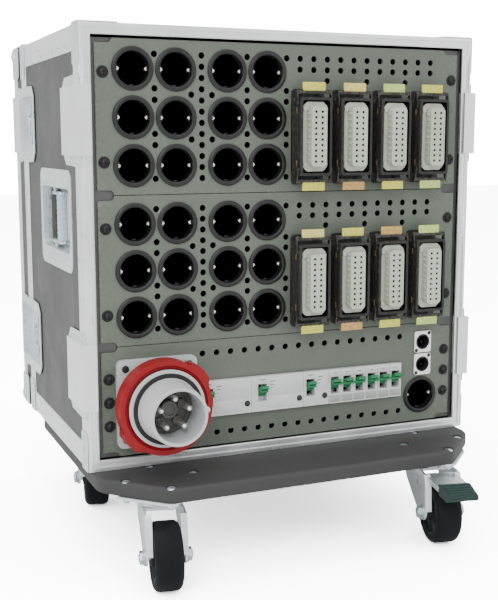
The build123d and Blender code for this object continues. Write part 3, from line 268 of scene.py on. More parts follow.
    def dome(self, centre: Sequence[float], axis: Sequence[float], radius: float, rise: float, steps: int = 12) -> None:
        """Add a low rounded head, such as a rivet's, that stands on centre."""
        arc = [(radius * cos(pi / 2 * i / 3), rise * sin(pi / 2 * i / 3)) for i in range(4)]
        self.lathe([(0, -0.2), (radius, -0.2), *arc], centre, axis, steps)

    def turn(self, matrix: Matrix) -> None:
        """Move everything built so far by a matrix."""
        bmesh.ops.transform(self.bm, matrix=matrix, verts=self.bm.verts)

    def mesh(self, name: str) -> bpy.types.Mesh:
        """Close the bench and give its mesh, in metres in the row's frame."""
        bmesh.ops.remove_doubles(self.bm, verts=self.bm.verts, dist=0.002)
        bmesh.ops.transform(self.bm, matrix=TO_ROW, verts=self.bm.verts)
        bmesh.ops.recalc_face_normals(self.bm, faces=self.bm.faces)
        mesh = bpy.data.meshes.new(name)
        self.bm.to_mesh(mesh)
        self.bm.free()
        mesh.shade_smooth()
        mesh.set_sharp_from_angle(angle=SMOOTH_BELOW)
        return mesh

    def piece(self, name: str, finish: "Finish", body: str = ROOT_BODY, nodes: Sequence[str] = (),
              edge: float = 0.0, cut: "Bench | None" = None) -> bpy.types.Object:
        """Finish the bench as one visible piece.

        Args:
            name: The piece's name.
            finish: What it is made of.
            body: The moving body that it rides on.
            nodes: The frame's nodes that it stands for.
            edge: Width of the small round on its sharp edges, in millimetres.
            cut: Another bench whose solids are cut out of it.

        Returns:
            The new object.
        """
        piece = bpy.data.objects.new(name, self.mesh(name))
        bpy.context.scene.collection.objects.link(piece)
        if cut is not None:
            self.carve(piece, cut)
        piece.data.materials.append(finish.material())
        if edge:
            round_off = piece.modifiers.new("edge_round", "BEVEL")
            round_off.width = edge * MM
            round_off.segments = 2
            round_off.limit_method = "ANGLE"
            round_off.angle_limit = radians(42)
            round_off.harden_normals = True
        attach(piece, body)
        if nodes:
            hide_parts(*nodes)
        return piece

    @staticmethod
    def carve(piece: bpy.types.Object, cut: "Bench") -> None:
        """Cut another bench's solids out of a piece for good."""
        cutter = bpy.data.objects.new("cutter", cut.mesh("cutter"))
        bpy.context.scene.collection.objects.link(cutter)
        difference = piece.modifiers.new("cut", "BOOLEAN")
        difference.operation = "DIFFERENCE"
        difference.solver = "EXACT"
        difference.object = cutter
        graph = bpy.context.evaluated_depsgraph_get()
        graph.update()
        mesh = bpy.data.meshes.new_from_object(piece.evaluated_get(graph))
        piece.modifiers.clear()
        piece.data = mesh
        mesh.shade_smooth()
        mesh.set_sharp_from_angle(angle=SMOOTH_BELOW)
        bpy.data.objects.remove(cutter)


# ------------------------------------------------------------------------------------------ node groups
class Shade:
    """A node tree being wired, for a material or for a node group."""

    def __init__(self, tree: bpy.types.NodeTree) -> None:
        """Work on a tree."""
        self.tree = tree

    def node(self, kind: str, values: dict | None = None, **settings: object) -> bpy.types.Node:
        """Add a node, with its settings, and link or set its inputs from values."""
        node = self.tree.nodes.new(kind)
        for key, value in settings.items():
            setattr(node, key, value)
        for key, value in (values or {}).items():
            if isinstance(value, bpy.types.NodeSocket):
                self.tree.links.new(value, node.inputs[key])
            else:
                node.inputs[key].default_value = value
        return node

    def math(self, operation: str, first: object, second: object = 0.0) -> bpy.types.NodeSocket:
        """Add a Math node and give its result."""
        return self.node("ShaderNodeMath", {0: first, 1: second}, operation=operation).outputs[0]

    def stretch(self, value: object, low: float, high: float, to_low: float = 0.0, to_high: float = 1.0) -> bpy.types.NodeSocket:
        """Map a value's range from low..high to to_low..to_high, clamped."""
        values = {"Value": value, "From Min": low, "From Max": high, "To Min": to_low, "To Max": to_high}
        return self.node("ShaderNodeMapRange", values, interpolation_type="SMOOTHSTEP").outputs[0]

    def mix(self, share: object, first: object, second: object) -> bpy.types.NodeSocket:
        """Mix two colours."""
        return self.node("ShaderNodeMix", {0: share, 6: first, 7: second}, data_type="RGBA").outputs[2]

    def noise(self, where: object, scale: object, detail: float = 3.0, roughness: float = 0.55) -> bpy.types.NodeSocket:
        """Add a noise texture and give its value."""
        values = {"Vector": where, "Scale": scale, "Detail": detail, "Roughness": roughness}
        return self.node("ShaderNodeTexNoise", values).outputs[0]

    def place(self, stretch: Sequence[float] = (1, 1, 1)) -> bpy.types.NodeSocket:
        """Give the object's own coordinates, stretched along its axes."""
        where = self.node("ShaderNodeTexCoord").outputs["Object"]
        return self.node("ShaderNodeMapping", {"Vector": where, "Scale": tuple(stretch)}).outputs[0]


def new_group(name: str, inputs: dict[str, str], outputs: dict[str, str]) -> tuple[Shade, bpy.types.Node, bpy.types.Node]:
    """Start a shader node group with named sockets.

    Args:
        name: The group's name.
        inputs: Each input's name and the last word of its socket type.
        outputs: The same for each output.

    Returns:
        The tree to wire, the node with the inputs and the node for the outputs.
    """
    tree = bpy.data.node_groups.new(name, "ShaderNodeTree")
    for way, sockets in (("INPUT", inputs), ("OUTPUT", outputs)):
        for title, kind in sockets.items():
            tree.interface.new_socket(title, in_out=way, socket_type=f"NodeSocket{kind}")
    return Shade(tree), tree.nodes.new("NodeGroupInput"), tree.nodes.new("NodeGroupOutput")


def drift_group() -> bpy.types.NodeTree:
    """Build the group that lets a colour drift in soft clouds."""
    shade, given, out = new_group("colour_drift", {"Colour": "Color", "Amount": "Float", "Scale": "Float"},
                                  {"Colour": "Color"})
    cloud = shade.noise(shade.place(), given.outputs["Scale"], 4.0)
    share = shade.math("MULTIPLY", shade.stretch(cloud, 0.3, 0.7), given.outputs["Amount"])
    darker = shade.mix(0.6, given.outputs["Colour"], (0.0, 0.0, 0.0, 1.0))
    shade.tree.links.new(shade.mix(share, given.outputs["Colour"], darker), out.inputs[0])
    return shade.tree


def wear_group() -> bpy.types.NodeTree:
    """Build the group that finds worn edges, broken up by noise."""
    shade, given, out = new_group("edge_wear", {"Amount": "Float", "Scale": "Float"}, {"Mask": "Float"})
    ridge = shade.stretch(shade.node("ShaderNodeNewGeometry").outputs["Pointiness"], 0.51, 0.60)
    broken = shade.stretch(shade.noise(shade.place(), given.outputs["Scale"], 6.0, 0.7), 0.42, 0.62)
    mask = shade.math("MULTIPLY", shade.math("MULTIPLY", ridge, broken), given.outputs["Amount"])
    shade.tree.links.new(mask, out.inputs[0])
    return shade.tree


def grain_group() -> bpy.types.NodeTree:
    """Build the group for a fine moulded or powder-coated grain: a normal and its raw height."""
    shade, given, out = new_group("fine_grain", {"Scale": "Float", "Depth": "Float"},
                                  {"Normal": "Vector", "Height": "Float"})
    height = shade.noise(shade.place(), given.outputs["Scale"], 2.0, 0.6)
    bump = shade.node("ShaderNodeBump", {"Height": height, "Strength": given.outputs["Depth"], "Distance": 0.0004})
    shade.tree.links.new(bump.outputs[0], out.inputs[0])
    shade.tree.links.new(height, out.inputs[1])
    return shade.tree


def scuff_group() -> bpy.types.NodeTree:
    """Build the group for long fine scratches in two directions."""
    shade, given, out = new_group("scuffs", {"Scale": "Float", "Amount": "Float"}, {"Mask": "Float"})
    masks = []
    for lean in ((1.0, 0.06, 0.9), (0.9, 1.0, 0.05)):
        line = shade.noise(shade.place(lean), given.outputs["Scale"], 5.0, 0.75)
        masks.append(shade.stretch(line, 0.62, 0.70))
    both = shade.math("MAXIMUM", masks[0], masks[1])
    shade.tree.links.new(shade.math("MULTIPLY", both, given.outputs["Amount"]), out.inputs[0])
    return shade.tree


def dust_group() -> bpy.types.NodeTree:
    """Build the group that finds where dust settles on faces that look up."""
    shade, given, out = new_group("settled_dust", {"Amount": "Float"}, {"Mask": "Float"})
    normal = shade.node("ShaderNodeNewGeometry").outputs["Normal"]
    upward = shade.stretch(shade.node("ShaderNodeSeparateXYZ", {0: normal}).outputs[2], 0.55, 1.0)
    patch = shade.stretch(shade.noise(shade.place(), 60.0, 6.0, 0.7), 0.35, 0.75)
    mask = shade.math("MULTIPLY", shade.math("MULTIPLY", upward, patch), given.outputs["Amount"])
    shade.tree.links.new(mask, out.inputs[0])
    return shade.tree


GROUPS = {tree.name: tree for tree in (drift_group(), wear_group(), grain_group(), scuff_group(), dust_group())}


def use_group(shade: Shade, name: str, **values: object) -> bpy.types.Node:
    """Place one of the shared groups in a material with its own values."""
    node = shade.node("ShaderNodeGroup", node_tree=GROUPS[name])
    for key, value in values.items():
        if isinstance(value, bpy.types.NodeSocket):
            shade.tree.links.new(value, node.inputs[key])
        else:
            node.inputs[key].default_value = value
    return node


# ------------------------------------------------------------------------------------------ finishes
def rgba(colour: Colour) -> tuple[float, float, float, float]:
    """Add a full alpha to a colour."""
    return (*colour, 1.0)


@dataclass(frozen=True)
class Finish:
    """What a piece is made of; each kind of finish wires its own material.

    Attributes:
        name: The material's name.
        slot: The record's material slot; not used.
        colour: Linear base colour.
        roughness: Roughness in the middle of its range.
        drift: How far the colour drifts.
        wear: How strongly edges are worn.
        worn: The colour under the worn edges.
        dust: How much dust lies on upward faces.
        shine: Specular level of the bare surface.
    """

    name: str
    slot: str
    colour: Colour
    roughness: float = 0.45
    drift: float = 0.18
    wear: float = 0.0
    worn: Colour = (0.5, 0.5, 0.5)
    dust: float = 0.0
    shine: float = 0.4

    def material(self) -> bpy.types.Material:
        """Give the finish's material, wiring it the first time."""
        found = bpy.data.materials.get(self.name)
        if found is not None:
            return found
        material = bpy.data.materials.new(self.name)
        material.use_nodes = True
        material.diffuse_color = rgba(self.colour)
        shade = Shade(material.node_tree)
        shader = material.node_tree.nodes["Principled BSDF"]
        shader.inputs["Specular IOR Level"].default_value = self.shine
        self.wire(shade, shader)
        return material

    def base(self, shade: Shade, scale: float = 14.0) -> bpy.types.NodeSocket:
        """Give the drifting base colour with worn edges and dust."""
        colour = use_group(shade, "colour_drift", Colour=rgba(self.colour), Amount=self.drift, Scale=scale).outputs[0]
        if self.wear:
            mask = use_group(shade, "edge_wear", Amount=self.wear, Scale=240.0).outputs[0]
            colour = shade.mix(mask, colour, rgba(self.worn))
        if self.dust:
            mask = use_group(shade, "settled_dust", Amount=self.dust).outputs[0]
            colour = shade.mix(mask, colour, (0.42, 0.40, 0.37, 1.0))
        return colour

    def wire(self, shade: Shade, shader: bpy.types.Node) -> None:
        """Wire the material; a plain finish has a drifting colour and a varying gloss."""
        cloud = shade.noise(shade.place(), 35.0, 5.0, 0.65)
        gloss = shade.stretch(cloud, 0.3, 0.7, self.roughness - 0.06, self.roughness + 0.08)
        shade.tree.links.new(self.base(shade), shader.inputs["Base Color"])
        shade.tree.links.new(gloss, shader.inputs["Roughness"])


@dataclass(frozen=True)
class Grained(Finish):
    """Moulded plastic, rubber or a powder coat, with a fine even grain."""

    grain: float = 1400.0
    depth: float = 0.25
    coat: float = 0.0

    def wire(self, shade: Shade, shader: bpy.types.Node) -> None:
        """Wire a grained surface whose gloss follows its grain."""
        grain = use_group(shade, "fine_grain", Scale=self.grain, Depth=self.depth)
        smudge = shade.noise(shade.place(), 22.0, 5.0, 0.6)
        gloss = shade.stretch(smudge, 0.3, 0.7, self.roughness - 0.07, self.roughness + 0.09)
        shade.tree.links.new(self.base(shade), shader.inputs["Base Color"])
        shade.tree.links.new(gloss, shader.inputs["Roughness"])
        shade.tree.links.new(grain.outputs["Normal"], shader.inputs["Normal"])
        shader.inputs["Coat Weight"].default_value = self.coat
        shader.inputs["Coat Roughness"].default_value = 0.12


@dataclass(frozen=True)
class Extruded(Finish):
    """Satin aluminium with fine draw lines and handling scratches."""

    lines: tuple[float, float, float] = (1.0, 1.0, 0.02)

    def wire(self, shade: Shade, shader: bpy.types.Node) -> None:
        """Wire the draw lines, scratches and dull patches of an extrusion."""
        drawn = shade.noise(shade.place(self.lines), 900.0, 2.0, 0.5)
        scratch = use_group(shade, "scuffs", Scale=55.0, Amount=0.8).outputs[0]
        patch = shade.noise(shade.place(), 18.0, 6.0, 0.7)
        gloss = shade.stretch(patch, 0.3, 0.7, self.roughness - 0.08, self.roughness + 0.12)
        height = shade.math("SUBTRACT", shade.math("MULTIPLY", drawn, 0.5), scratch)
        bump = shade.node("ShaderNodeBump", {"Height": height, "Strength": 0.22, "Distance": 0.0003})
        colour = shade.mix(shade.math("MULTIPLY", scratch, 0.35), self.base(shade), (0.35, 0.35, 0.35, 1.0))
        shade.tree.links.new(colour, shader.inputs["Base Color"])
        shade.tree.links.new(gloss, shader.inputs["Roughness"])
        shade.tree.links.new(bump.outputs[0], shader.inputs["Normal"])
        shader.inputs["Metallic"].default_value = 0.85


@dataclass(frozen=True)
class Plated(Finish):
    """Zinc- or nickel-plated pressed steel, with crystalline patches."""

    crystals: float = 160.0
    metal: float = 0.9

    def wire(self, shade: Shade, shader: bpy.types.Node) -> None:
        """Wire the plating's patches, which change its gloss more than its colour."""
        cell = shade.node("ShaderNodeTexVoronoi", {"Vector": shade.place(), "Scale": self.crystals}, feature="F1")
        patch = shade.noise(shade.place(), 40.0, 6.0, 0.7)
        tone = shade.math("ADD", shade.math("MULTIPLY", cell.outputs["Distance"], 0.35), patch)
        gloss = shade.stretch(tone, 0.4, 0.9, self.roughness - 0.08, self.roughness + 0.16)
        shade.tree.links.new(self.base(shade, 30.0), shader.inputs["Base Color"])
        shade.tree.links.new(gloss, shader.inputs["Roughness"])
        bump = shade.node("ShaderNodeBump", {"Height": tone, "Strength": 0.16, "Distance": 0.0003})
        shade.tree.links.new(bump.outputs[0], shader.inputs["Normal"])
        shader.inputs["Metallic"].default_value = self.metal


@dataclass(frozen=True)
class Laminate(Finish):
    """Phenolic laminate on plywood, with a leathery emboss and pale scuffs."""

    def wire(self, shade: Shade, shader: bpy.types.Node) -> None:
        """Wire the emboss, the scuffs and the rubbed patches."""
        cell = shade.node("ShaderNodeTexVoronoi", {"Vector": shade.place(), "Scale": 620.0}, feature="SMOOTH_F1")
        fine = shade.noise(shade.place(), 2400.0, 2.0)
        height = shade.math("ADD", cell.outputs["Distance"], shade.math("MULTIPLY", fine, 0.3))
        scratch = use_group(shade, "scuffs", Scale=30.0, Amount=0.5).outputs[0]
        speck = shade.mix(shade.stretch(fine, 0.35, 0.7, 0.0, 0.35), self.base(shade, 9.0), rgba(self.worn))
        colour = shade.mix(scratch, speck, rgba(self.worn))
        rub = shade.noise(shade.place(), 12.0, 6.0, 0.7)
        gloss = shade.stretch(rub, 0.3, 0.7, self.roughness - 0.06, self.roughness + 0.1)
        bump = shade.node("ShaderNodeBump", {"Height": height, "Strength": 0.3, "Distance": 0.0004})
        shade.tree.links.new(colour, shader.inputs["Base Color"])
        shade.tree.links.new(gloss, shader.inputs["Roughness"])
        shade.tree.links.new(bump.outputs[0], shader.inputs["Normal"])


@dataclass(frozen=True)
class Coating(Finish):
    """A thick black textured coating with bright worn specks, as on the castor board."""

    def wire(self, shade: Shade, shader: bpy.types.Node) -> None:
        """Wire the lumps of the coating and the specks that shine on them."""
        lumps = shade.noise(shade.place(), 420.0, 4.0, 0.65)
        cell = shade.node("ShaderNodeTexVoronoi", {"Vector": shade.place(), "Scale": 330.0}, feature="F1")
        height = shade.math("ADD", lumps, shade.math("MULTIPLY", cell.outputs["Distance"], 0.6))
        speck = shade.stretch(shade.noise(shade.place(), 700.0, 3.0, 0.7), 0.60, 0.72, 0.0, 0.5)
        colour = shade.mix(speck, self.base(shade, 10.0), rgba(self.worn))
        gloss = shade.stretch(lumps, 0.35, 0.65, self.roughness - 0.12, self.roughness + 0.12)
        bump = shade.node("ShaderNodeBump", {"Height": height, "Strength": 0.5, "Distance": 0.0008})
        shade.tree.links.new(colour, shader.inputs["Base Color"])
        shade.tree.links.new(gloss, shader.inputs["Roughness"])
        shade.tree.links.new(bump.outputs[0], shader.inputs["Normal"])


ALUMINIUM = Extruded("satin_aluminium", "case_aluminium", (0.90, 0.91, 0.92), 0.34, 0.10)
CROSS_ALUMINIUM = Extruded("satin_aluminium_across", "case_aluminium", (0.90, 0.91, 0.92), 0.34, 0.10,
                           lines=(0.02, 1.0, 1.0))
DEPTH_ALUMINIUM = Extruded("satin_aluminium_deep", "case_aluminium", (0.90, 0.91, 0.92), 0.34, 0.10,
                           lines=(1.0, 0.02, 1.0))
ZINC = Plated("zinc_plate", "zinc_steel", (0.80, 0.84, 0.85), 0.32, 0.2)
BLUE_ZINC = Plated("blue_zinc_plate", "zinc_steel", (0.62, 0.69, 0.74), 0.28, 0.25)
NICKEL = Plated("nickel_plate", "zinc_steel", (0.86, 0.84, 0.80), 0.22, 0.1, crystals=500.0)
BRASS = Plated("brass_spring", "zinc_steel", (0.72, 0.56, 0.28), 0.30, 0.25, crystals=400.0)
CASE_LAMINATE = Laminate("grey_laminate", "case_laminate", (0.058, 0.062, 0.060), 0.5, 0.15, worn=(0.13, 0.13, 0.125),
                         shine=0.25)
PANEL_COAT = Grained("grey_powder_coat", "panel_coating", (0.112, 0.132, 0.107), 0.48, 0.12, 0.5, (0.45, 0.46, 0.45),
                     shine=0.3, grain=1700.0, depth=0.3)
DARK_SHEET = Grained("dark_inside_sheet", "panel_coating", (0.02, 0.022, 0.02), 0.6, 0.2, grain=900.0)
RAIL_STEEL = Plated("dark_rail_steel", "case_aluminium", (0.10, 0.10, 0.10), 0.42, 0.2, metal=0.6)
SOCKET_BLACK = Grained("socket_black", "socket_plastic", (0.013, 0.0125, 0.0135), 0.36, 0.25, 0.15, (0.08, 0.08, 0.08),
                       shine=0.35, grain=1500.0, depth=0.35)
# Painted shade: near-black for the contact sleeves, standing for the dark inside the connectors' holes.
PAINTED_HOLE_SHADE = Finish("painted_hole_shade", "socket_plastic", (0.004, 0.004, 0.004), 0.7)
HOUSING_BLACK = Grained("cast_housing_black", "housing_coating", (0.016, 0.016, 0.017), 0.42, 0.3, 0.5,
                        (0.20, 0.18, 0.13), shine=0.3, grain=900.0, depth=0.45)
INSERT_GREY = Grained("insert_grey", "insert_plastic", (0.44, 0.47, 0.39), 0.48, 0.25, 0.3, (0.7, 0.7, 0.65),
                      grain=1200.0, depth=0.2)
INLET_WHITE = Grained("inlet_light_grey", "inlet_plastic", (0.50, 0.51, 0.52), 0.38, 0.14, 0.2, (0.75, 0.75, 0.75),
                      grain=1500.0, depth=0.2)
INLET_DARK = Grained("inlet_core_grey", "inlet_plastic", (0.085, 0.085, 0.08), 0.4, 0.35, grain=700.0)
RING_RED = Grained("ring_red", "ring_plastic", (0.27, 0.004, 0.009), 0.4, 0.2, 0.3, (0.6, 0.14, 0.12),
                   shine=0.25, grain=1300.0, depth=0.15)
BREAKER_WHITE = Grained("breaker_white", "breaker_plastic", (0.58, 0.59, 0.59), 0.42, 0.12, 0.2, (0.8, 0.8, 0.8),
                        grain=1600.0, depth=0.2)
BREAKER_SHADE = Grained("breaker_grey", "breaker_plastic", (0.36, 0.38, 0.37), 0.45, 0.15, grain=1600.0)
TOGGLE_GREEN = Grained("toggle_green", "toggle_plastic", (0.006, 0.17, 0.06), 0.36, 0.2, 0.2, (0.15, 0.4, 0.22),
                       grain=1600.0, depth=0.15)
BUTTON_BLACK = Grained("button_black", "button_plastic", (0.018, 0.02, 0.024), 0.35, grain=1500.0)
BOARD_COAT = Coating("board_coating", "board_coating", (0.0062, 0.0070, 0.0075), 0.6, 0.3, 0.3, (0.055, 0.058, 0.06),
                     0.02, 0.08)
RUBBER = Grained("tyre_rubber", "castor_rubber", (0.0075, 0.0082, 0.0095), 0.64, 0.3, 0.4, (0.04, 0.04, 0.04), 0.03,
                 0.12, grain=600.0, depth=0.5)
WHEEL_CORE = Grained("wheel_centre", "castor_rubber", (0.014, 0.016, 0.018), 0.5, 0.2, shine=0.2, grain=1100.0)
PEDAL_GREEN = Grained("pedal_green", "pedal_plastic", (0.013, 0.034, 0.031), 0.5, 0.3, 0.5, (0.06, 0.11, 0.10),
                      shine=0.25, grain=800.0, depth=0.4)
GRIP_GREY = Grained("grip_blue_grey", "grip_plastic", (0.50, 0.57, 0.66), 0.48, 0.2, grain=900.0, depth=0.4)
BLACK_SCREW = Plated("black_screw", "screw_steel", (0.025, 0.025, 0.027), 0.4, 0.2, shine=0.3, crystals=900.0, metal=0.4)
GASKET = Grained("gasket_rubber", "inlet_plastic", (0.008, 0.008, 0.008), 0.6, grain=700.0)
PADS = {
    "straw": Grained("pad_straw", "lever_plastic", (0.66, 0.54, 0.12), 0.42, 0.25, 0.4, (0.85, 0.8, 0.5)),
    "lime": Grained("pad_lime", "lever_plastic", (0.42, 0.56, 0.12), 0.42, 0.25, 0.4, (0.8, 0.85, 0.5)),
    "yellow": Grained("pad_yellow", "lever_plastic", (0.56, 0.54, 0.05), 0.42, 0.3, 0.4, (0.85, 0.8, 0.4)),
    "amber": Grained("pad_amber", "lever_plastic", (0.46, 0.27, 0.07), 0.42, 0.35, 0.4, (0.8, 0.6, 0.3)),
}


# ------------------------------------------------------------------------------------------ shared sizes
@dataclass(frozen=True)
class Case:
    """The flight case's outer sizes, in the panel frame."""

    half: float = 260.0
    floor: float = -14.3
    top: float = 504.7
    front: float = -5.0
    split: float = 333.0
    lid_front: float = 333.4
    back: float = 390.0
    wall: float = 7.0
    leg: float = 1.5
    leg_reach: float = 30.0
    latch_heights: Pair = (99.5, 396.0)
    latch_mouth: float = 75.5
    latch_length: float = 75.0
    latch_depth: float = 10.0
    latch_flange: float = 105.0
    catch_length: float = 42.0

    def inset(self, by: float) -> Outline:
        """Give the case's cross-section rectangle, inset on all sides."""
        return rectangle((by - self.half, self.half - by), (self.floor + by, self.top - by))


CASE = Case()
SIDES = ((-1, "left"), (1, "right"))


def socket_rows(base: float) -> list[float]:
    """Heights of the three rows of round sockets on an outlet panel."""
    return [base + 88.9 + step * 55.0 for step in (-1, 0, 1)]


RACK_UNIT = 44.45
OUTLET_BASES = (3 * RACK_UNIT, 7 * RACK_UNIT)
SOCKET_COLUMNS = (-197.2, -145.2, -80.8, -28.8)
SOCKETS = [(x, z) for base in OUTLET_BASES for z in socket_rows(base) for x in SOCKET_COLUMNS] + [(196.0, 36.0)]
PLUGS = [(24.5 + 55.8 * step, base + 67.0) for base in OUTLET_BASES for step in range(4)]
SCREW_HEIGHTS = [38.1, 66.7, 95.25] + [base + h for base in OUTLET_BASES for h in (37.9, 139.5)]
RACK_SCREWS = [(side * 232.55, z) for side, _ in SIDES for z in SCREW_HEIGHTS]


# ------------------------------------------------------------------------------------------ castors
@dataclass
class Castor:
    """One swivel castor, built with its swivel axis on z and its wheel trailing to the front."""

    corner: str
    yaw: float
    braked: bool
    trail: float = 38.0
    radius: float = 40.0
    half_width: float = 16.5
    ground: float = -PANEL_Z
    height: float = 105.0
    crown: float = 28.0

    def place(self) -> Matrix:
        """Give the matrix from the castor's own frame to the panel frame."""
        low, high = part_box(f"castor_fork_{self.corner}")
        wheel_low, wheel_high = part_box(f"castor_wheel_{self.corner}")
        axle = (wheel_low + wheel_high) / 2 / MM
        turn = radians(self.yaw)
        x = axle.x - self.trail * sin(turn)
        y = axle.y - PANEL_Y + self.trail * cos(turn)
        return Matrix.Translation((x, y, self.ground)) @ Matrix.Rotation(turn, 4, "Z")

    def build(self) -> None:
        """Build the fork, the wheel and, where there is one, the brake."""
        place = self.place()
        self.fork(place)
        self.wheel(place)
        if self.braked:
            self.brake(place)

    def fork(self, place: Matrix) -> None:
        """Build the pressed fork with its crown, race, cheeks, axle and nuts."""
        body = f"castor_fork_{self.corner}"
        top = self.height - 3.4
        web = top - 9.0
        bench = Bench()
        bench.lathe(
            [(6.4, web + 0.2), (26, web), (28, web + 1.2), (27.4, web + 3), (24.6, web + 6.6), (22.5, web + 8.4), (6.4, web + 8.9)],
            (0, 0, 0), (0, 0, 1), 56,
        )
        cheek = [
            (25, web - 0.5), (-41, web - 0.5), (-46, web - 16), (-self.trail - 10.5, self.radius + 2),
            (-self.trail - 8, self.radius - 7.5), (-self.trail, self.radius - 10.8),
            (-self.trail + 8, self.radius - 7.5), (26, web - 22),
        ]
        for side, _ in SIDES:
            inner, outer = side * 21.5, side * 24.4
            bench.prism(rounded(cheek, 6.0), Axis.X, (inner, outer), 0.5)
            bench.prism(
                rounded([(-43.5, web - 1), (-41, web - 1), (-46, web - 17), (-50, self.radius + 4), (-52, self.radius + 4), (-48.5, web - 17)], 1.0),
                Axis.X, (inner - side * 5.0, outer), 0.3,
            )
        web_outline = rounded([(-24.2, -24), (24.2, -24), (24.2, 26), (-24.2, 26)], 7.0)
        bench.prism(web_outline, Axis.Z, (web - 2.9, web + 0.1), 0.6)
        bench.turn(place)
        bench.piece(f"fork_{self.corner}", ZINC, body, (body,), 0.35)
        race = Bench()
        race.lathe([(22, web + 5.6), (27.6, web + 5.6), (28.6, web + 7), (27.6, web + 8.4), (22, web + 8.6)], (0, 0, 0), (0, 0, 1), 56)
        for step in range(18):
            turn = 2 * pi * step / 18
            race.dome((27.2 * cos(turn), 27.2 * sin(turn), web + 7), (cos(turn), sin(turn), 0), 1.5, 1.2, 8)
        race.turn(place)
        race.piece(f"race_{self.corner}", BLUE_ZINC, body)
        axle = Bench()
        for side, _ in SIDES:
            centre = (side * 24.5, -self.trail, self.radius)
            axle.rod(centre, (side * 26.0, -self.trail, self.radius), 9.6, steps=32, soft=0.4)
            axle.rod((side * 26.0, -self.trail, self.radius), (side * 30.4, -self.trail, self.radius), 8.3, steps=6, soft=0.6)
            axle.rod((side * 30.0, -self.trail, self.radius), (side * 31.4, -self.trail, self.radius), 4.8, steps=20, soft=0.6)
        axle.rod((-24.6, -self.trail, self.radius), (24.6, -self.trail, self.radius), 4.9, steps=20)
        axle.turn(place)
        axle.piece(f"axle_{self.corner}", BLUE_ZINC, body, (), 0.2)

    def wheel(self, place: Matrix) -> None:
        """Build the tyre with rounded shoulders and the dished centre."""
        body = f"castor_wheel_{self.corner}"
        half, radius = self.half_width, self.radius
        shoulder = [(radius - 7 + 7 * sin(pi / 2 * i / 6), half - 7 + 7 * cos(pi / 2 * i / 6)) for i in range(7)]
        crown = [(radius, half - 7.0)]
        profile = [(28.4, half - 0.6), (31, half - 0.2)] + shoulder + crown
        mirrored = [(r, -a) for r, a in reversed(profile)]
        tyre = Bench()
        tyre.lathe(profile + mirrored, (0, 0, 0), (1, 0, 0), 72)
        tyre.turn(place @ Matrix.Translation((0, -self.trail, radius)))
        tyre.piece(f"tyre_{self.corner}", RUBBER, body, (body,))
        hub = Bench()
        side = [(5.2, half + 2), (10.2, half + 2), (11, half + 1.2), (11.5, half - 3.5), (24, half - 5), (26.4, half - 1.4), (28.0, half - 1.2)]
        hub.lathe(side + [(r, -a) for r, a in reversed(side)], (0, 0, 0), (1, 0, 0), 48)
        for way in (-1, 1):
            for step in range(6):
                turn = 2 * pi * step / 6
                rib = Matrix.Rotation(turn, 3, "X")
                start = rib @ Vector((way * (half - 3.6), 0, 11))
                end = rib @ Vector((way * (half - 3.6), 0, 24.5))
                hub.rod(start, end, 1.6, steps=8)
        hub.turn(place @ Matrix.Translation((0, -self.trail, radius)))
        hub.piece(f"wheel_centre_{self.corner}", WHEEL_CORE, body)

    def brake(self, place: Matrix) -> None:
        """Build the brake's arm and its ribbed foot pedal."""
        body = f"brake_pedal_{self.corner}"
        hinge = self.height - 3.4 - 9.0 - 5.5
        pad = Bench()
        pad.prism(
            rounded([(-82.4, hinge + 4.6), (-111.6, hinge - 2.8), (-111.6, hinge - 9.6), (-84.4, hinge - 8.6)], 1.8),
            Axis.X, (-20.6, 20.6), 1.2,
        )
        for step in range(5):
            y = -87.5 - 5.2 * step
            z = hinge + 3.7 - 1.32 * step
            pad.prism(
                rounded([(y + 1.1, z - 0.4), (y + 0.8, z + 0.9), (y - 0.8, z + 0.5), (y - 1.1, z - 0.9)], 0.3),
                Axis.X, (-17.5, 17.5),
            )
        pad.turn(place)
        pad.piece(f"pedal_{self.corner}", PEDAL_GREEN, body, (body,), 0.4)
        arm = Bench()
        arm.slab((-20.8, 20.8), (-84.5, -35), (hinge - 1.4, hinge + 1.4), 0.6)
        for side, _ in SIDES:
            arm.slab((side * 18.4, side * 20.9), (-83.0, -30.5), (hinge - 5.5, hinge + 1.2), 0.6)
        arm.rod((-24.4, -34, hinge), (24.4, -34, hinge), 2.45, steps=16, soft=0.4)
        arm.turn(place)
        arm.piece(f"brake_arm_{self.corner}", ZINC, body, (), 0.3)


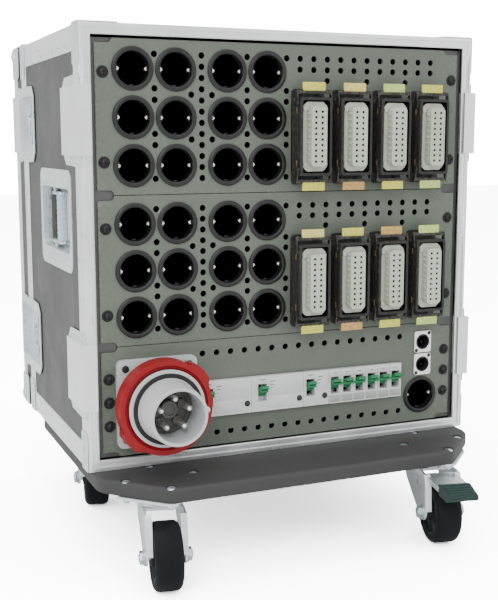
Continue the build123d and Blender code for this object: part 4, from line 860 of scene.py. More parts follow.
@dataclass
class CastorPlates:
    """The square top plates under the board, with their kingpins and bolts."""

    plate: float = 78.0
    pitch: float = 58.0
    thickness: float = 3.0
    corners: tuple[str, ...] = ("front_left", "front_right", "rear_left", "rear_right")

    def build(self, castors: Sequence[Castor]) -> None:
        """Build all the plates as one piece and all the bolts as another."""
        plates, bolts = Bench(), Bench()
        top = 105.0
        for castor in castors:
            middle = castor.place().translation
            turn = Matrix.Translation(middle) @ Matrix.Rotation(radians(45), 4, "Z")
            half = self.plate / 2
            one = Bench()
            one.prism(rounded(rectangle((-half, half), (-half, half)), 11.0), Axis.Z, (top - self.thickness, top - 0.02), 0.4)
            one.rod((0, 0, 86.4), (0, 0, top - self.thickness + 0.4), 5.9, steps=24)
            one.rod((0, 0, 86.4), (0, 0, 89.0), 9.8, steps=24, soft=0.8)
            one.turn(turn)
            self.merge(plates, one)
            for u in (-1, 1):
                for v in (-1, 1):
                    at = (u * self.pitch / 2, v * self.pitch / 2)
                    nut = Bench()
                    nut.rod((*at, top - self.thickness - 4.5), (*at, top - self.thickness - 0.2), 5.7, steps=6, soft=0.5)
                    nut.rod((*at, top - self.thickness - 6.4), (*at, top - self.thickness - 4.2), 2.9, steps=16, soft=0.4)
                    nut.turn(turn)
                    self.merge(bolts, nut)
                    head = Bench()
                    arc = [(6.1 * cos(pi / 2 * i / 4), 2.2 * sin(pi / 2 * i / 4)) for i in range(5)]
                    head.lathe([(0, 0), (6.3, 0), *arc], (*at, top + 18.0 - 2.9), (0, 0, 1), 24)
                    head.turn(turn)
                    self.merge(bolts, head)
        plates.piece("castor_top_plates", ZINC, ROOT_BODY, ("castor_plates",), 0.3)
        bolts.piece("board_bolts", BLUE_ZINC)

    @staticmethod
    def merge(into: Bench, other: Bench) -> None:
        """Add one bench's mesh to another."""
        mesh = bpy.data.meshes.new("part")
        other.bm.to_mesh(mesh)
        other.bm.free()
        into.bm.from_mesh(mesh)
        bpy.data.meshes.remove(mesh)


# ------------------------------------------------------------------------------------------ castor board
@dataclass
class CastorBoard:
    """The coated board that the case stands on, with cut corners and rounded edges."""

    half: float = 256.0
    y: Pair = (-98.0, 350.0)
    top: float = -14.32
    thickness: float = 17.98
    corner: float = 70.0
    top_round: float = 5.0
    foot_round: float = 2.0
    bolt_pitch: float = 58.0

    def outline(self, inset: float) -> Outline:
        """Give the board's outline, inset on all sides, with softened corners."""
        left, right = -self.half + inset, self.half - inset
        front, back = self.y[0] + inset, self.y[1] - inset
        cut = self.corner - inset * (2 - 2**0.5)
        points = [
            (left + cut, front), (right - cut, front), (right, front + cut), (right, back - cut),
            (right - cut, back), (left + cut, back), (left, back - cut), (left, front + cut),
        ]
        return rounded(points, 14.0, 5)

    def build(self, castors: Sequence[Castor]) -> None:
        """Build the board and the sunk seats of its bolts."""
        bench = Bench()
        rings = []
        for step in range(5):
            turn = pi / 2 * step / 4
            inset, drop = self.top_round * (1 - sin(turn)), self.top_round * (1 - cos(turn))
            rings.append([Vector((x, y, self.top - drop)) for x, y in self.outline(inset)])
        foot = self.top - self.thickness
        for inset, rise in ((0, self.foot_round), (self.foot_round * 0.3, self.foot_round * 0.3), (self.foot_round, 0)):
            rings.append([Vector((x, y, foot + rise)) for x, y in self.outline(inset)])
        bench.loops(rings, False)
        cut = Bench()
        for castor in castors:
            middle = castor.place().translation
            for step in range(4):
                turn = radians(90 * step)
                reach = self.bolt_pitch / 2**0.5
                at = (middle.x + reach * cos(turn), middle.y + reach * sin(turn))
                cut.rod((*at, self.top - 3.7), (*at, self.top + 5), 6.8, steps=24)
        bench.piece("castor_board", BOARD_COAT, ROOT_BODY, ("dolly_board",), 0.4, cut)


# ------------------------------------------------------------------------------------------ flight case
@dataclass
class CaseShell:
    """The case's laminated walls, its edge profiles, rivets and flat corner braces."""

    rim: float = 13.5
    brace_length: float = 46.0
    brace_width: float = 29.0
    sheet: float = 1.2
    rivet: float = 3.2
    handle_middle: Pair = (138.5, 277.0)
    handle_mouth: Pair = (150.0, 78.0)

    def pockets(self) -> Bench:
        """Make the solids that cut the latch pockets out of the rims and edge profiles."""
        cut = Bench()
        half = CASE.latch_mouth / 2 + 1.4
        for side, _ in SIDES:
            for height in CASE.latch_heights:
                x = (side * (CASE.half - CASE.latch_depth - 1.4), side * (CASE.half + 5))
                z = (height - half, height + half)
                cut.slab(x, (CASE.front - 5, CASE.front + CASE.latch_length + 1.5), z)
                cut.slab(x, (CASE.split - CASE.latch_length - 1.5, CASE.split + 0.2), z)
        return cut

    def build(self) -> None:
        """Build every part of the shell."""
        self.walls()
        self.rims()
        self.edges()
        self.braces()
        self.rivets()

    def walls(self) -> None:
        """Build the four laminated walls, open at the latches and handles."""
        bench = Bench()
        y0, y1 = CASE.front + 3.6, CASE.split - 3.6
        z0, z1 = CASE.floor + 1.6, CASE.top - 1.6
        depth = CASE.latch_length + 1.5
        half = CASE.latch_mouth / 2 + 1.4
        low, high = CASE.latch_heights
        front, back = CASE.front + depth, CASE.split - depth
        outline = [
            (y0, z0), (y1, z0), (y1, low - half), (back, low - half), (back, low + half), (y1, low + half),
            (y1, high - half), (back, high - half), (back, high + half), (y1, high + half), (y1, z1), (y0, z1),
            (y0, high + half), (front, high + half), (front, high - half), (y0, high - half),
            (y0, low + half), (front, low + half), (front, low - half), (y0, low - half),
        ]
        cy, cz = self.handle_middle
        w, h = self.handle_mouth[0] / 2 + 1.4, self.handle_mouth[1] / 2 + 1.4
        hole = rectangle((cy - w, cy + w), (cz - h, cz + h))
        outer = CASE.half - CASE.leg
        for side, _ in SIDES:
            bench.pierced(outline, [hole], Axis.X, (side * outer, side * (outer - CASE.wall)))
        across = outer - CASE.wall - 0.1
        bench.slab((-across, across), (y0, y1), (z0, z0 + CASE.wall))
        bench.slab((-across - CASE.wall, across + CASE.wall), (y0, y1), (z1 - CASE.wall, z1))
        bench.piece("case_walls", CASE_LAMINATE, ROOT_BODY, ("case_panels",))

    def ring(self, bench: Bench, profile: Sequence[Pair]) -> None:
        """Sweep a closed profile of (inset, y) points round the case with mitred corners."""
        rings = []
        for inset, y in profile:
            rings.append([Axis.Y.point(u, v, y) for u, v in CASE.inset(inset)])
        bench.loops(rings, True)

    def rims(self) -> None:
        """Build the grooved edge profiles at the front and at the lid's joint."""
        for name, edge, way, nodes in (("front_rim", CASE.front, 1, ("case_frame",)), ("rear_rim", CASE.split, -1, ())):
            profile = [
                (1.4, 0), (4.9, 0), (5.5, 1.7), (9.0, 1.7), (9.6, 0), (12.4, 0), (13.4, 0.9), (13.4, 3.4),
                (10.0, 3.4), (10.0, 13.9), (8.7, 13.9), (8.7, 3.4), (1.5, 3.4), (1.5, 29.9), (0.5, 30.0),
                (0.0, 29.5), (0.0, 1.4), (0.4, 0.4),
            ]
            bench = Bench()
            self.ring(bench, [(inset, edge + way * y) for inset, y in profile])
            bench.piece(name, ALUMINIUM, ROOT_BODY, nodes, 0.25, self.pockets())

    def edges(self) -> None:
        """Build the rounded angles along the case's four long edges."""
        bench = Bench()
        span = (CASE.front + CASE.leg_reach + 0.1, CASE.split - CASE.leg_reach - 0.1)
        reach, leg = CASE.leg_reach, CASE.leg
        bend = [(0.0, 3.0), (0.25, 1.4), (1.4, 0.25), (3.0, 0.0)]
        profile = [(leg, reach), (0.3, reach), (0, reach - 0.5), *bend, (reach - 0.5, 0), (reach, 0.3), (reach, leg), (leg + 0.4, leg), (leg, leg + 0.4)]
        for side, _ in SIDES:
            for corner, way in ((CASE.floor, 1), (CASE.top, -1)):
                outline = [(side * (CASE.half - u), corner + way * v) for u, v in profile]
                bench.prism(outline, Axis.Y, span)
        bench.piece("edge_angles", DEPTH_ALUMINIUM, ROOT_BODY, (), 0.0, self.pockets())

    def braces(self) -> None:
        """Build the flat riveted plates at the body's corners, front and rear."""
        bench, heads = Bench(), Bench()
        length, sheet, face, roof = self.brace_length, self.sheet, CASE.half + 0.1, CASE.top + 0.1
        spans = (
            (CASE.front + 0.6, CASE.front + self.brace_width),
            (CASE.split - self.brace_width, CASE.split - 0.6),
        )
        for (side, _), y in product(SIDES, spans):
            plate = sorted((side * face, side * (face + sheet)))
            for height in ((CASE.top - length, roof + sheet), (CASE.floor, CASE.floor + length)):
                bench.prism(rounded(rectangle(y, height), 4.0), Axis.X, plate, 0.3)
            ends = sorted((side * (face + sheet * 0.6), side * (CASE.half - length)))
            bench.prism(rounded(rectangle(ends, y), 4.0), Axis.Z, (roof, roof + sheet), 0.3)
            for along in (12.0, 27.0, 40.0):
                for height in (CASE.top - along, CASE.floor + along):
                    heads.dome((side * (face + sheet), sum(y) / 2, height), (side, 0, 0), self.rivet, 1.0)
                heads.dome((side * (CASE.half - along), sum(y) / 2, roof + sheet), (0, 0, 1), self.rivet, 0.4)
        bench.piece("corner_braces", ZINC, ROOT_BODY, (), 0.0)
        heads.piece("brace_rivets", BLUE_ZINC)

    def rivets(self) -> None:
        """Build the rivets along the edge profiles."""
        bench = Bench()
        far = CASE.leg_reach - 8.0
        for side, _ in SIDES:
            for step in range(4):
                y = CASE.front + 68.0 + step * 67.0
                for height, way in ((CASE.top, -1), (CASE.floor, 1)):
                    bench.dome((side * CASE.half, y, height + way * far), (side, 0, 0), self.rivet, 1.0)
                bench.dome((side * (CASE.half - far), y, CASE.top), (0, 0, 1), self.rivet, 1.0)
            for height in (190.0, 236.0, 300.0, 306.0):
                for y in (CASE.front + far, CASE.split - far):
                    bench.dome((side * CASE.half, y, height), (side, 0, 0), self.rivet, 1.0)
        for step in range(5):
            for y in (CASE.front + far, CASE.split - far):
                bench.dome((-160.0 + 80.0 * step, y, CASE.top), (0, 0, 1), self.rivet, 1.0)
        bench.piece("edge_rivets", BLUE_ZINC)


@dataclass
class RearLid:
    """The lift-off lid at the back, with its edging, ball corners and catch dishes."""

    ball: float = 16.0
    proud: float = 5.0

    def build(self) -> None:
        """Build the lid's laminate, edging, corners and catches."""
        self.panels()
        self.edging()
        self.corners()
        catches = Bench()
        for side, _ in SIDES:
            for height in CASE.latch_heights:
                dish(catches, side, height, CASE.lid_front, 1, CASE.catch_length)
        catches.piece("lid_catches", ZINC, "rear_lid", (), 0.2)

    def panels(self) -> None:
        """Build the laminated back and side strips."""
        bench = Bench()
        y = (CASE.lid_front + 2.0, CASE.back - 1.6)
        outer, inner = CASE.inset(1.6), CASE.inset(8.6)
        bench.pierced(outer, [inner], Axis.Y, (y[0], y[1] - CASE.wall))
        bench.slab(*[(outer[0][0], outer[2][0]), (y[1] - CASE.wall, y[1]), (outer[0][1], outer[2][1])])
        cut = Bench()
        half = CASE.latch_mouth / 2 + 1.4
        for side, _ in SIDES:
            for height in CASE.latch_heights:
                x = (side * (CASE.half - CASE.latch_depth - 1.4), side * (CASE.half + 5))
                cut.slab(x, (CASE.lid_front - 5, CASE.lid_front + CASE.catch_length + 1.5), (height - half, height + half))
        bench.piece("lid_panels", CASE_LAMINATE, "rear_lid", ("rear_lid",), 0.0, cut)

    def edging(self) -> None:
        """Build the joint profile at the lid's front and the angles round its back."""
        cut = Bench()
        half = CASE.latch_mouth / 2 + 1.4
        for side, _ in SIDES:
            for height in CASE.latch_heights:
                x = (side * (CASE.half - CASE.latch_depth - 1.4), side * (CASE.half + 5))
                cut.slab(x, (CASE.lid_front - 5, CASE.lid_front + CASE.catch_length + 1.5), (height - half, height + half))
        bench = Bench()
        shell = CaseShell()
        front = CASE.lid_front
        profile = [(0.4, 0), (8.4, 0), (8.4, 2.2), (1.5, 2.2), (1.5, 19.4), (0.5, 19.6), (0, 19.2), (0, 0.5)]
        shell.ring(bench, [(inset, front + y) for inset, y in profile])
        back = CASE.back
        corner = [(0.0, -3.0), (0.25, -1.4), (1.4, -0.25), (3.0, 0.0), (29.5, 0.0), (30.0, -0.4), (30.0, -1.5), (1.9, -1.5), (1.5, -1.9), (1.5, -24.0), (0.4, -24.0), (0.0, -23.5)]
        shell.ring(bench, [(inset, back + y) for inset, y in corner])
        bench.piece("lid_edging", CROSS_ALUMINIUM, "rear_lid", (), 0.0, cut)
        rivets = Bench()
        for step in range(5):
            along = -180.0 + 90.0 * step
            for height, way in ((CASE.top, -1), (CASE.floor, 1)):
                rivets.dome((along, back, height + way * 22.0), (0, 1, 0), 3.2, 1.0)
            for side, _ in SIDES:
                rivets.dome((side * (CASE.half - 22.0), back, 245.0 + along), (0, 1, 0), 3.2, 1.0)
        rivets.piece("lid_rivets", BLUE_ZINC, "rear_lid")

    def corners(self) -> None:
        """Build the pressed ball corners, each with three lobes and rivets."""
        bench = Bench()
        inside = self.ball - self.proud
        for side, _ in SIDES:
            for corner, way in ((CASE.floor, 1), (CASE.top, -1)):
                centre = Vector((side * (CASE.half - inside), CASE.back - inside, corner + way * inside))
                turn = Matrix.Translation(centre)
                bmesh.ops.create_uvsphere(bench.bm, u_segments=32, v_segments=20, radius=self.ball - 0.1, matrix=turn)
                reach = 44.0
                edge_y = (CASE.back - reach, CASE.back)
                z = sorted((corner, corner + way * reach))
                x = sorted((side * CASE.half, side * (CASE.half - reach)))
                bench.prism(rounded(rectangle(edge_y, z), 10.0), Axis.X, sorted((side * CASE.half, side * (CASE.half + 1.2))), 0.3)
                bench.prism(rounded(rectangle(x, z), 10.0), Axis.Y, (CASE.back, CASE.back + 1.2), 0.3)
                bench.prism(rounded(rectangle(x, edge_y), 10.0), Axis.Z, sorted((corner, corner - way * 1.2)), 0.3)
                for a, b in ((34.0, 12.0), (12.0, 34.0), (30.0, 30.0)):
                    bench.dome((side * (CASE.half + 1.2), CASE.back - a, corner + way * b), (side, 0, 0), 2.8, 0.9)
                    bench.dome((side * (CASE.half - a), CASE.back + 1.2, corner + way * b), (0, 1, 0), 2.8, 0.9)
        bench.piece("ball_corners", ZINC, "rear_lid")


# ------------------------------------------------------------------------------------------ latches
def dish(bench: Bench, side: int, height: float, edge: float, away: int, length: float) -> None:
    """Add one pressed latch dish: a pan that is open at the case's edge, its flange and its rivets.

    Args:
        bench: The bench to add it to.
        side: -1 on the left, 1 on the right.
        height: Height of its middle.
        edge: y of the case's edge where it is open.
        away: 1 if it runs back from that edge, else -1.
        length: Length of the pan.
    """
    sheet = 1.2
    half = CASE.latch_mouth / 2
    tall = CASE.latch_flange / 2
    far = edge + away * length
    outer = far + away * 8.0
    surface = CASE.half
    flange = [
        (edge, height - tall + 3), (edge + away * 10, height - tall), (outer - away * 12, height - tall + 2), (outer, height - tall + 14),
        (outer, height + tall - 14), (outer - away * 12, height + tall - 2), (edge + away * 10, height + tall), (edge, height + tall - 3),
        (edge, height + half), (far, height + half), (far, height - half), (edge, height - half),
    ]
    bench.prism(flange, Axis.X, sorted((side * surface, side * (surface + sheet))))
    floor = surface - CASE.latch_depth
    x = sorted((side * floor, side * (floor - sheet)))
    pan_y = sorted((edge + away * 0.2, far + away * sheet))
    bench.slab(x, pan_y, (height - half - sheet, height + half + sheet))
    wall_x = sorted((side * (floor - 0.2), side * surface))
    for way in (-1, 1):
        bench.slab(wall_x, pan_y, (height + way * half, height + way * (half + sheet)))
    bench.slab(wall_x, (far, far + away * sheet), (height - half, height + half))
    for way in (-1, 1):
        for along in (14.0, length - 14.0):
            bench.dome((side * (surface + sheet), edge + away * along, height + way * (half + tall) / 2), (side, 0, 0), 2.7, 0.9)


@dataclass
class Latch:
    """One recessed butterfly latch: its dish, its hook and its wing."""

    end: str
    hand: str
    level: str
    side: int
    height: float

    def edge(self) -> tuple[float, int]:
        """Give the case edge that it stands at and the way it runs from there."""
        return (CASE.front, 1) if self.end == "front" else (CASE.split, -1)

    def build(self, dishes: Bench, hooks: Bench) -> None:
        """Build the dish and hook into their shared pieces, and the wing as its own."""
        edge, away = self.edge()
        dish(dishes, self.side, self.height, edge, away, CASE.latch_length)
        floor = CASE.half - CASE.latch_depth
        hinge = CASE.half - CASE.latch_depth / 2
        axis_y = edge + away * 30.0
        near = edge + away * 3.4
        hook_x = sorted((self.side * floor, self.side * (floor + 1.5)))
        hooks.slab(hook_x, (near, axis_y - away * 4), (self.height - 9.6, self.height + 9.6), 0.5)
        hooks.slab(sorted((self.side * floor, self.side * (floor + 4.2))), (near, near + away * 2.2), (self.height - 9.6, self.height + 9.6), 0.5)
        for way in (-1, 1):
            z = (self.height + way * 10.5, self.height + way * 14.9)
            hooks.slab(sorted((self.side * floor, self.side * (hinge + 3.4))), (axis_y - 3.4, axis_y + 3.4), z, 0.8)
        hooks.rod((self.side * hinge, axis_y, self.height - 14.2), (self.side * hinge, axis_y, self.height + 14.2), 1.45, steps=14)
        hooks.lathe([(8.5, 0), (17, 0), (18, 0.7), (17, 1.3), (8.5, 1.3)], (self.side * floor, axis_y + away * 14, self.height), (self.side, 0, 0), 36)
        self.wing(axis_y, away, hinge)

    def wing(self, axis_y: float, away: int, hinge: float) -> None:
        """Build the two-lobed wing that folds out to be turned."""
        body = f"latch_wing_{self.end}_{self.hand}_{self.level}"
        bench = Bench()
        lobes = [(5.6, 0), (9, 12), (8, 27.5), (17, 27.5), (22, 16), (19, 0), (22, -16), (17, -27.5), (8, -27.5), (9, -12)]
        outline = rounded([(axis_y + away * u, self.height + v) for u, v in lobes], 5.0, 4)
        bench.prism(outline, Axis.X, sorted((self.side * (hinge - 1.2), self.side * (hinge + 1.2))), 0.6)
        for way in (-1, 1):
            rim = rounded([(axis_y + away * u, self.height + way * v) for u, v in ((10.5, 13), (10, 25.5), (16.5, 25.5), (19.5, 16))], 3.0, 4)
            bench.prism(rim, Axis.X, sorted((self.side * (hinge + 1.1), self.side * (hinge + 2.0))), 0.5)
        bench.rod((self.side * hinge, axis_y, self.height - 9.8), (self.side * hinge, axis_y, self.height + 9.8), 2.9, steps=20, soft=0.5)
        bench.slab((self.side * (hinge - 1.2), self.side * (hinge + 1.2)), (axis_y, axis_y + away * 8), (self.height - 8, self.height + 8), 0.4)
        bench.piece(f"wing_{self.end}_{self.hand}_{self.level}", BLUE_ZINC, body, (body,), 0.2)


# ------------------------------------------------------------------------------------------ side handles
@dataclass
class SideHandle:
    """A sprung handle in a pressed dish on one side of the case."""

    side: int
    hand: str
    middle: Pair = (138.5, 277.0)
    mouth: Pair = (150.0, 78.0)
    flange: Pair = (172.0, 124.0)
    depth: float = 16.0
    arm: float = 35.0
    grip: float = 7.0
    surface: float = 258.5

    def build(self) -> None:
        """Build the dish, a black pad that paints the shade along its rear wall, and the grip."""
        self.dish()
        self.bail()

    def dish(self) -> None:
        """Build the pressed dish with its beaded mouth and rivets."""
        cy, cz = self.middle
        half_y, half_z = self.mouth[0] / 2, self.mouth[1] / 2
        skin = sorted((self.side * self.surface, self.side * (self.surface + 1.2)))
        bench = Bench()
        y = (cy - self.flange[0] / 2, cy + self.flange[0] / 2)
        z = (cz - self.flange[1] / 2, cz + self.flange[1] / 2)
        mouth = rounded(rectangle((cy - half_y, cy + half_y), (cz - half_z, cz + half_z)), 9.0)
        bench.pierced(rounded(rectangle(y, z), 15.0, 6), [mouth], Axis.X, skin)
        rings = []
        for inset, sink in ((0, -1.2), (0.2, 2.0), (1.0, self.depth - 3), (3.0, self.depth - 0.8), (5.0, self.depth)):
            edge = rounded(rectangle((cy - half_y + inset, cy + half_y - inset), (cz - half_z + inset, cz + half_z - inset)), 9.0 - inset)
            rings.append([Axis.X.point(u, v, self.side * (self.surface - sink)) for u, v in edge])
        bench.loops(rings, False)
        cap = max((f for f in bench.bm.faces if len(f.verts) > 4), key=lambda f: abs(f.calc_center_median().x) if len(f.verts) == len(rings[0]) else 0)
        bmesh.ops.delete(bench.bm, geom=[cap], context="FACES")
        for way in (-1, 1):
            for step in range(4):
                along = cy - 60 + 40 * step
                bench.dome((self.side * (self.surface + 1.2), along, cz + way * (half_z + 11.5)), (self.side, 0, 0), 3.0, 1.2)
            bench.dome((self.side * (self.surface + 1.2), cy + way * (half_y + 5.5), cz - 20), (self.side, 0, 0), 2.6, 1.0)
            bead = (cz + way * (half_z + 2.6), cz + way * (half_z + 4.6))
            bench.slab((skin[0] if self.side > 0 else skin[1], self.side * (self.surface + 1.9)), (cy - half_y + 6, cy + half_y - 6), bead, 0.6)
        bench.piece(f"handle_dish_{self.hand}", ZINC, ROOT_BODY, ("handle_dishes",) if self.side < 0 else ())
        # Painted shade: a black pad on the dish floor along its rear wall stands for the shade there.
        rear_shade_pad = Bench()
        inner = self.surface - self.depth
        rear_shade_pad.slab((self.side * (inner + 0.4), self.side * (inner + 6.4)), (cy + half_y - 34, cy + half_y - 4.0), (cz - half_z + 5, cz + half_z - 5), 1.6)
        rear_shade_pad.piece(f"handle_painted_shade_{self.hand}", GASKET)

    def bail(self) -> None:
        """Build the grip with its end collars, arms and pivot pins."""
        cy, cz = self.middle
        x = self.side * (self.surface - self.depth + self.grip + 1.5)
        body = f"handle_grip_{self.hand}"
        half = self.mouth[1] / 2 - 10
        bench = Bench()
        profile = [(0, -half), (self.grip - 1.2, -half), (self.grip - 0.2, -half + 1.2)]
        for step in range(9):
            at = -half + 4 + (2 * half - 8) * step / 8
            profile += [(self.grip - 0.7, at - 1.2), (self.grip - 0.1, at), (self.grip - 0.7, at + 1.2)]
        profile += [(self.grip - 0.2, half - 1.2), (self.grip - 1.2, half), (0, half)]
        bench.lathe(profile, (x, cy, cz), (0, 0, 1), 32)
        bench.piece(f"grip_{self.hand}", GRIP_GREY, body, (body,))
        arms = Bench()
        for way in (-1, 1):
            z = (cz + way * half, cz + way * (half + 3.9))
            outline = rounded([(x - 4.3, cy - 4.3), (x + 4.3, cy - 4.3), (x + 4.3, cy + self.arm + 4.3), (x - 4.3, cy + self.arm + 4.3)], 4.2)
            arms.prism(outline, Axis.Z, sorted(z), 0.6)
            arms.rod((x, cy + self.arm, cz + way * (half - 0.0)), (x, cy + self.arm, cz + way * (self.mouth[1] / 2 + 1.0)), 2.45, steps=16)
        arms.piece(f"handle_arms_{self.hand}", BLUE_ZINC, body, (), 0.3)


# ------------------------------------------------------------------------------------------ rack panels
@dataclass
class RackPanel:
    """One front panel with its cut-outs, ventilation holes and the sheet box behind it."""

    name: str
    base: float
    units: int
    holes: list[Outline] = field(default_factory=list)
    half: float = 241.3
    thickness: float = 2.5
    tray_half: float = 220.2
    tray_depth: float = 120.0

    def build(self, nodes: Sequence[str]) -> None:
        """Build the panel and its tray."""
        low, high = self.base + 0.4, self.base + self.units * RACK_UNIT - 0.4
        notch, rise = 20.0, 6.0
        arc = [(notch - rise + rise * sin(pi / 2 * i / 5), rise * cos(pi / 2 * i / 5)) for i in range(6)]
        quarter = [(0.0, rise), *arc[:1], *arc[1:]]
        outline: Outline = []
        corners = ((-1, low, 1), (1, low, 1), (1, high, -1), (-1, high, -1))
        for index, (side, edge, way) in enumerate(corners):
            points = [(side * (self.half - along), edge + way * (up - 0.4)) for along, up in quarter]
            points[-1] = (points[-1][0], edge)
            outline += points if index % 2 == 0 else points[::-1]
        screws = [circle(x, z, 3.4, 16) for x, z in RACK_SCREWS if low < z < high]
        bench = Bench()
        bench.pierced(outline, [*self.holes, *screws], Axis.Y, (0.0, self.thickness))
        bench.piece(self.name, PANEL_COAT, ROOT_BODY, nodes, 0.3)
        tray = Bench()
        z0, z1 = self.base + 4.2, self.base + self.units * RACK_UNIT - 4.2
        outer = rectangle((-self.tray_half, self.tray_half), (z0, z1))
        inner = rectangle((-self.tray_half + 1.2, self.tray_half - 1.2), (z0 + 1.2, z1 - 1.2))
        tray.pierced(outer, [inner], Axis.Y, (2.8, self.tray_depth - 1.2))
        tray.slab((-self.tray_half, self.tray_half), (self.tray_depth - 1.3, self.tray_depth), (z0, z1))
        tray.piece(f"{self.name}_tray", DARK_SHEET)


@dataclass
class Front:
    """The three panels, their rails, screws and dark gaps."""

    vent: float = 3.75
    insert: Pair = (33.6, 84.0)
    socket_body: float = 21.8

    def outlet_holes(self, base: float) -> list[Outline]:
        """Outline every hole in an outlet panel."""
        holes = [circle(x, z, self.socket_body, 40) for z in socket_rows(base) for x in SOCKET_COLUMNS]
        grid = -113.0
        steps = [(grid, n) for n in range(12)]
        steps += [(grid + shift, n) for shift in (-58, 58, 110) for n in (0, 3, 4, 7, 8, 11)]
        steps += [(grid + side * 13, n) for side in (-1, 1) for n in (3.5, 7.5)]
        columns = [15.2 + 18.57 * n for n in range(11)]
        steps += [(x, n) for x in columns for n in (0, 1)] + [(columns[n], 2) for n in (2, 5, 8)]
        holes += [circle(x, base + 160.9 - 12.94 * n, self.vent, 16) for x, n in steps]
        w, h = self.insert[0] / 2 + 0.3, self.insert[1] / 2 + 0.3
        holes += [rectangle((x - w, x + w), (z - h, z + h)) for x, z in PLUGS if base < z < base + 4 * RACK_UNIT]
        return holes

    def inlet_holes(self, breaker_x: Pair) -> list[Outline]:
        """Outline every hole in the inlet panel."""
        holes = [circle(196.0, 36.0, self.socket_body, 40), circle(-174.6, 64.5, 35.3, 48)]
        holes += [rectangle(breaker_x, (60.5 - 22.8, 60.5 + 22.8))]
        holes += [circle(198.5, z, 12.1, 28) for z in (108.0, 77.6)]
        holes += [circle(15.2 + 18.57 * n, 117.0, self.vent, 16) for n in range(-7, 9)]
        holes += [circle(15.2 + 18.57 * n, 16.2, self.vent, 16) for n in range(-6, 9)]
        return holes

    def build(self, breaker_x: Pair) -> None:
        """Build the panels, rails and screws."""
        lower = RackPanel("outlet_panel_lower", OUTLET_BASES[0], 4, self.outlet_holes(OUTLET_BASES[0]))
        upper = RackPanel("outlet_panel_upper", OUTLET_BASES[1], 4, self.outlet_holes(OUTLET_BASES[1]))
        lower.build(("outlet_panels",))
        upper.build(())
        RackPanel("inlet_panel_front", 0.0, 3, self.inlet_holes(breaker_x)).build(("inlet_panel",))
        rails = Bench()
        for side, _ in SIDES:
            rails.slab((side * 221.8, side * 249.6), (2.7, 4.6), (0.2, 488.7))
            rails.slab((side * 247.7, side * 249.6), (2.7, 30.5), (0.2, 488.7))
        rails.piece("rack_rails", RAIL_STEEL)
        self.screws()

    def screws(self) -> None:
        """Build the black cup washers and the cross-headed screws in them."""
        washers, heads, cuts = Bench(), Bench(), Bench()
        arm, half = 2.3, 0.55
        cross = [
            (half, half), (half, arm), (-half, arm), (-half, half), (-arm, half), (-arm, -half),
            (-half, -half), (-half, -arm), (half, -arm), (half, -half), (arm, -half), (arm, half),
        ]
        for x, z in RACK_SCREWS:
            cup = [(3.4, 0.02), (6.9, 0.02), (6.9, 0.6), (6.0, 1.5), (4.9, 1.55), (3.4, 1.0)]
            washers.lathe([(r, reach) for r, reach in cup], (x, 0, z), (0, -1, 0), 28)
            arc = [(4.9 * cos(pi / 2 * i / 5), 1.4 + 4.0 * sin(pi / 2 * i / 5)) for i in range(6)]
            heads.lathe([(0, -12), (2.9, -12), (2.9, 1.0), (4.9, 1.0), *arc], (x, 0, z), (0, -1, 0), 24)
            cuts.prism([(x + u, z + v) for u, v in cross], Axis.Y, (-7, -3.9))
        washers.piece("rack_washers", BLACK_SCREW, ROOT_BODY, ("fasteners",))
        heads.piece("rack_screws", BLACK_SCREW, ROOT_BODY, (), 0.0, cuts)


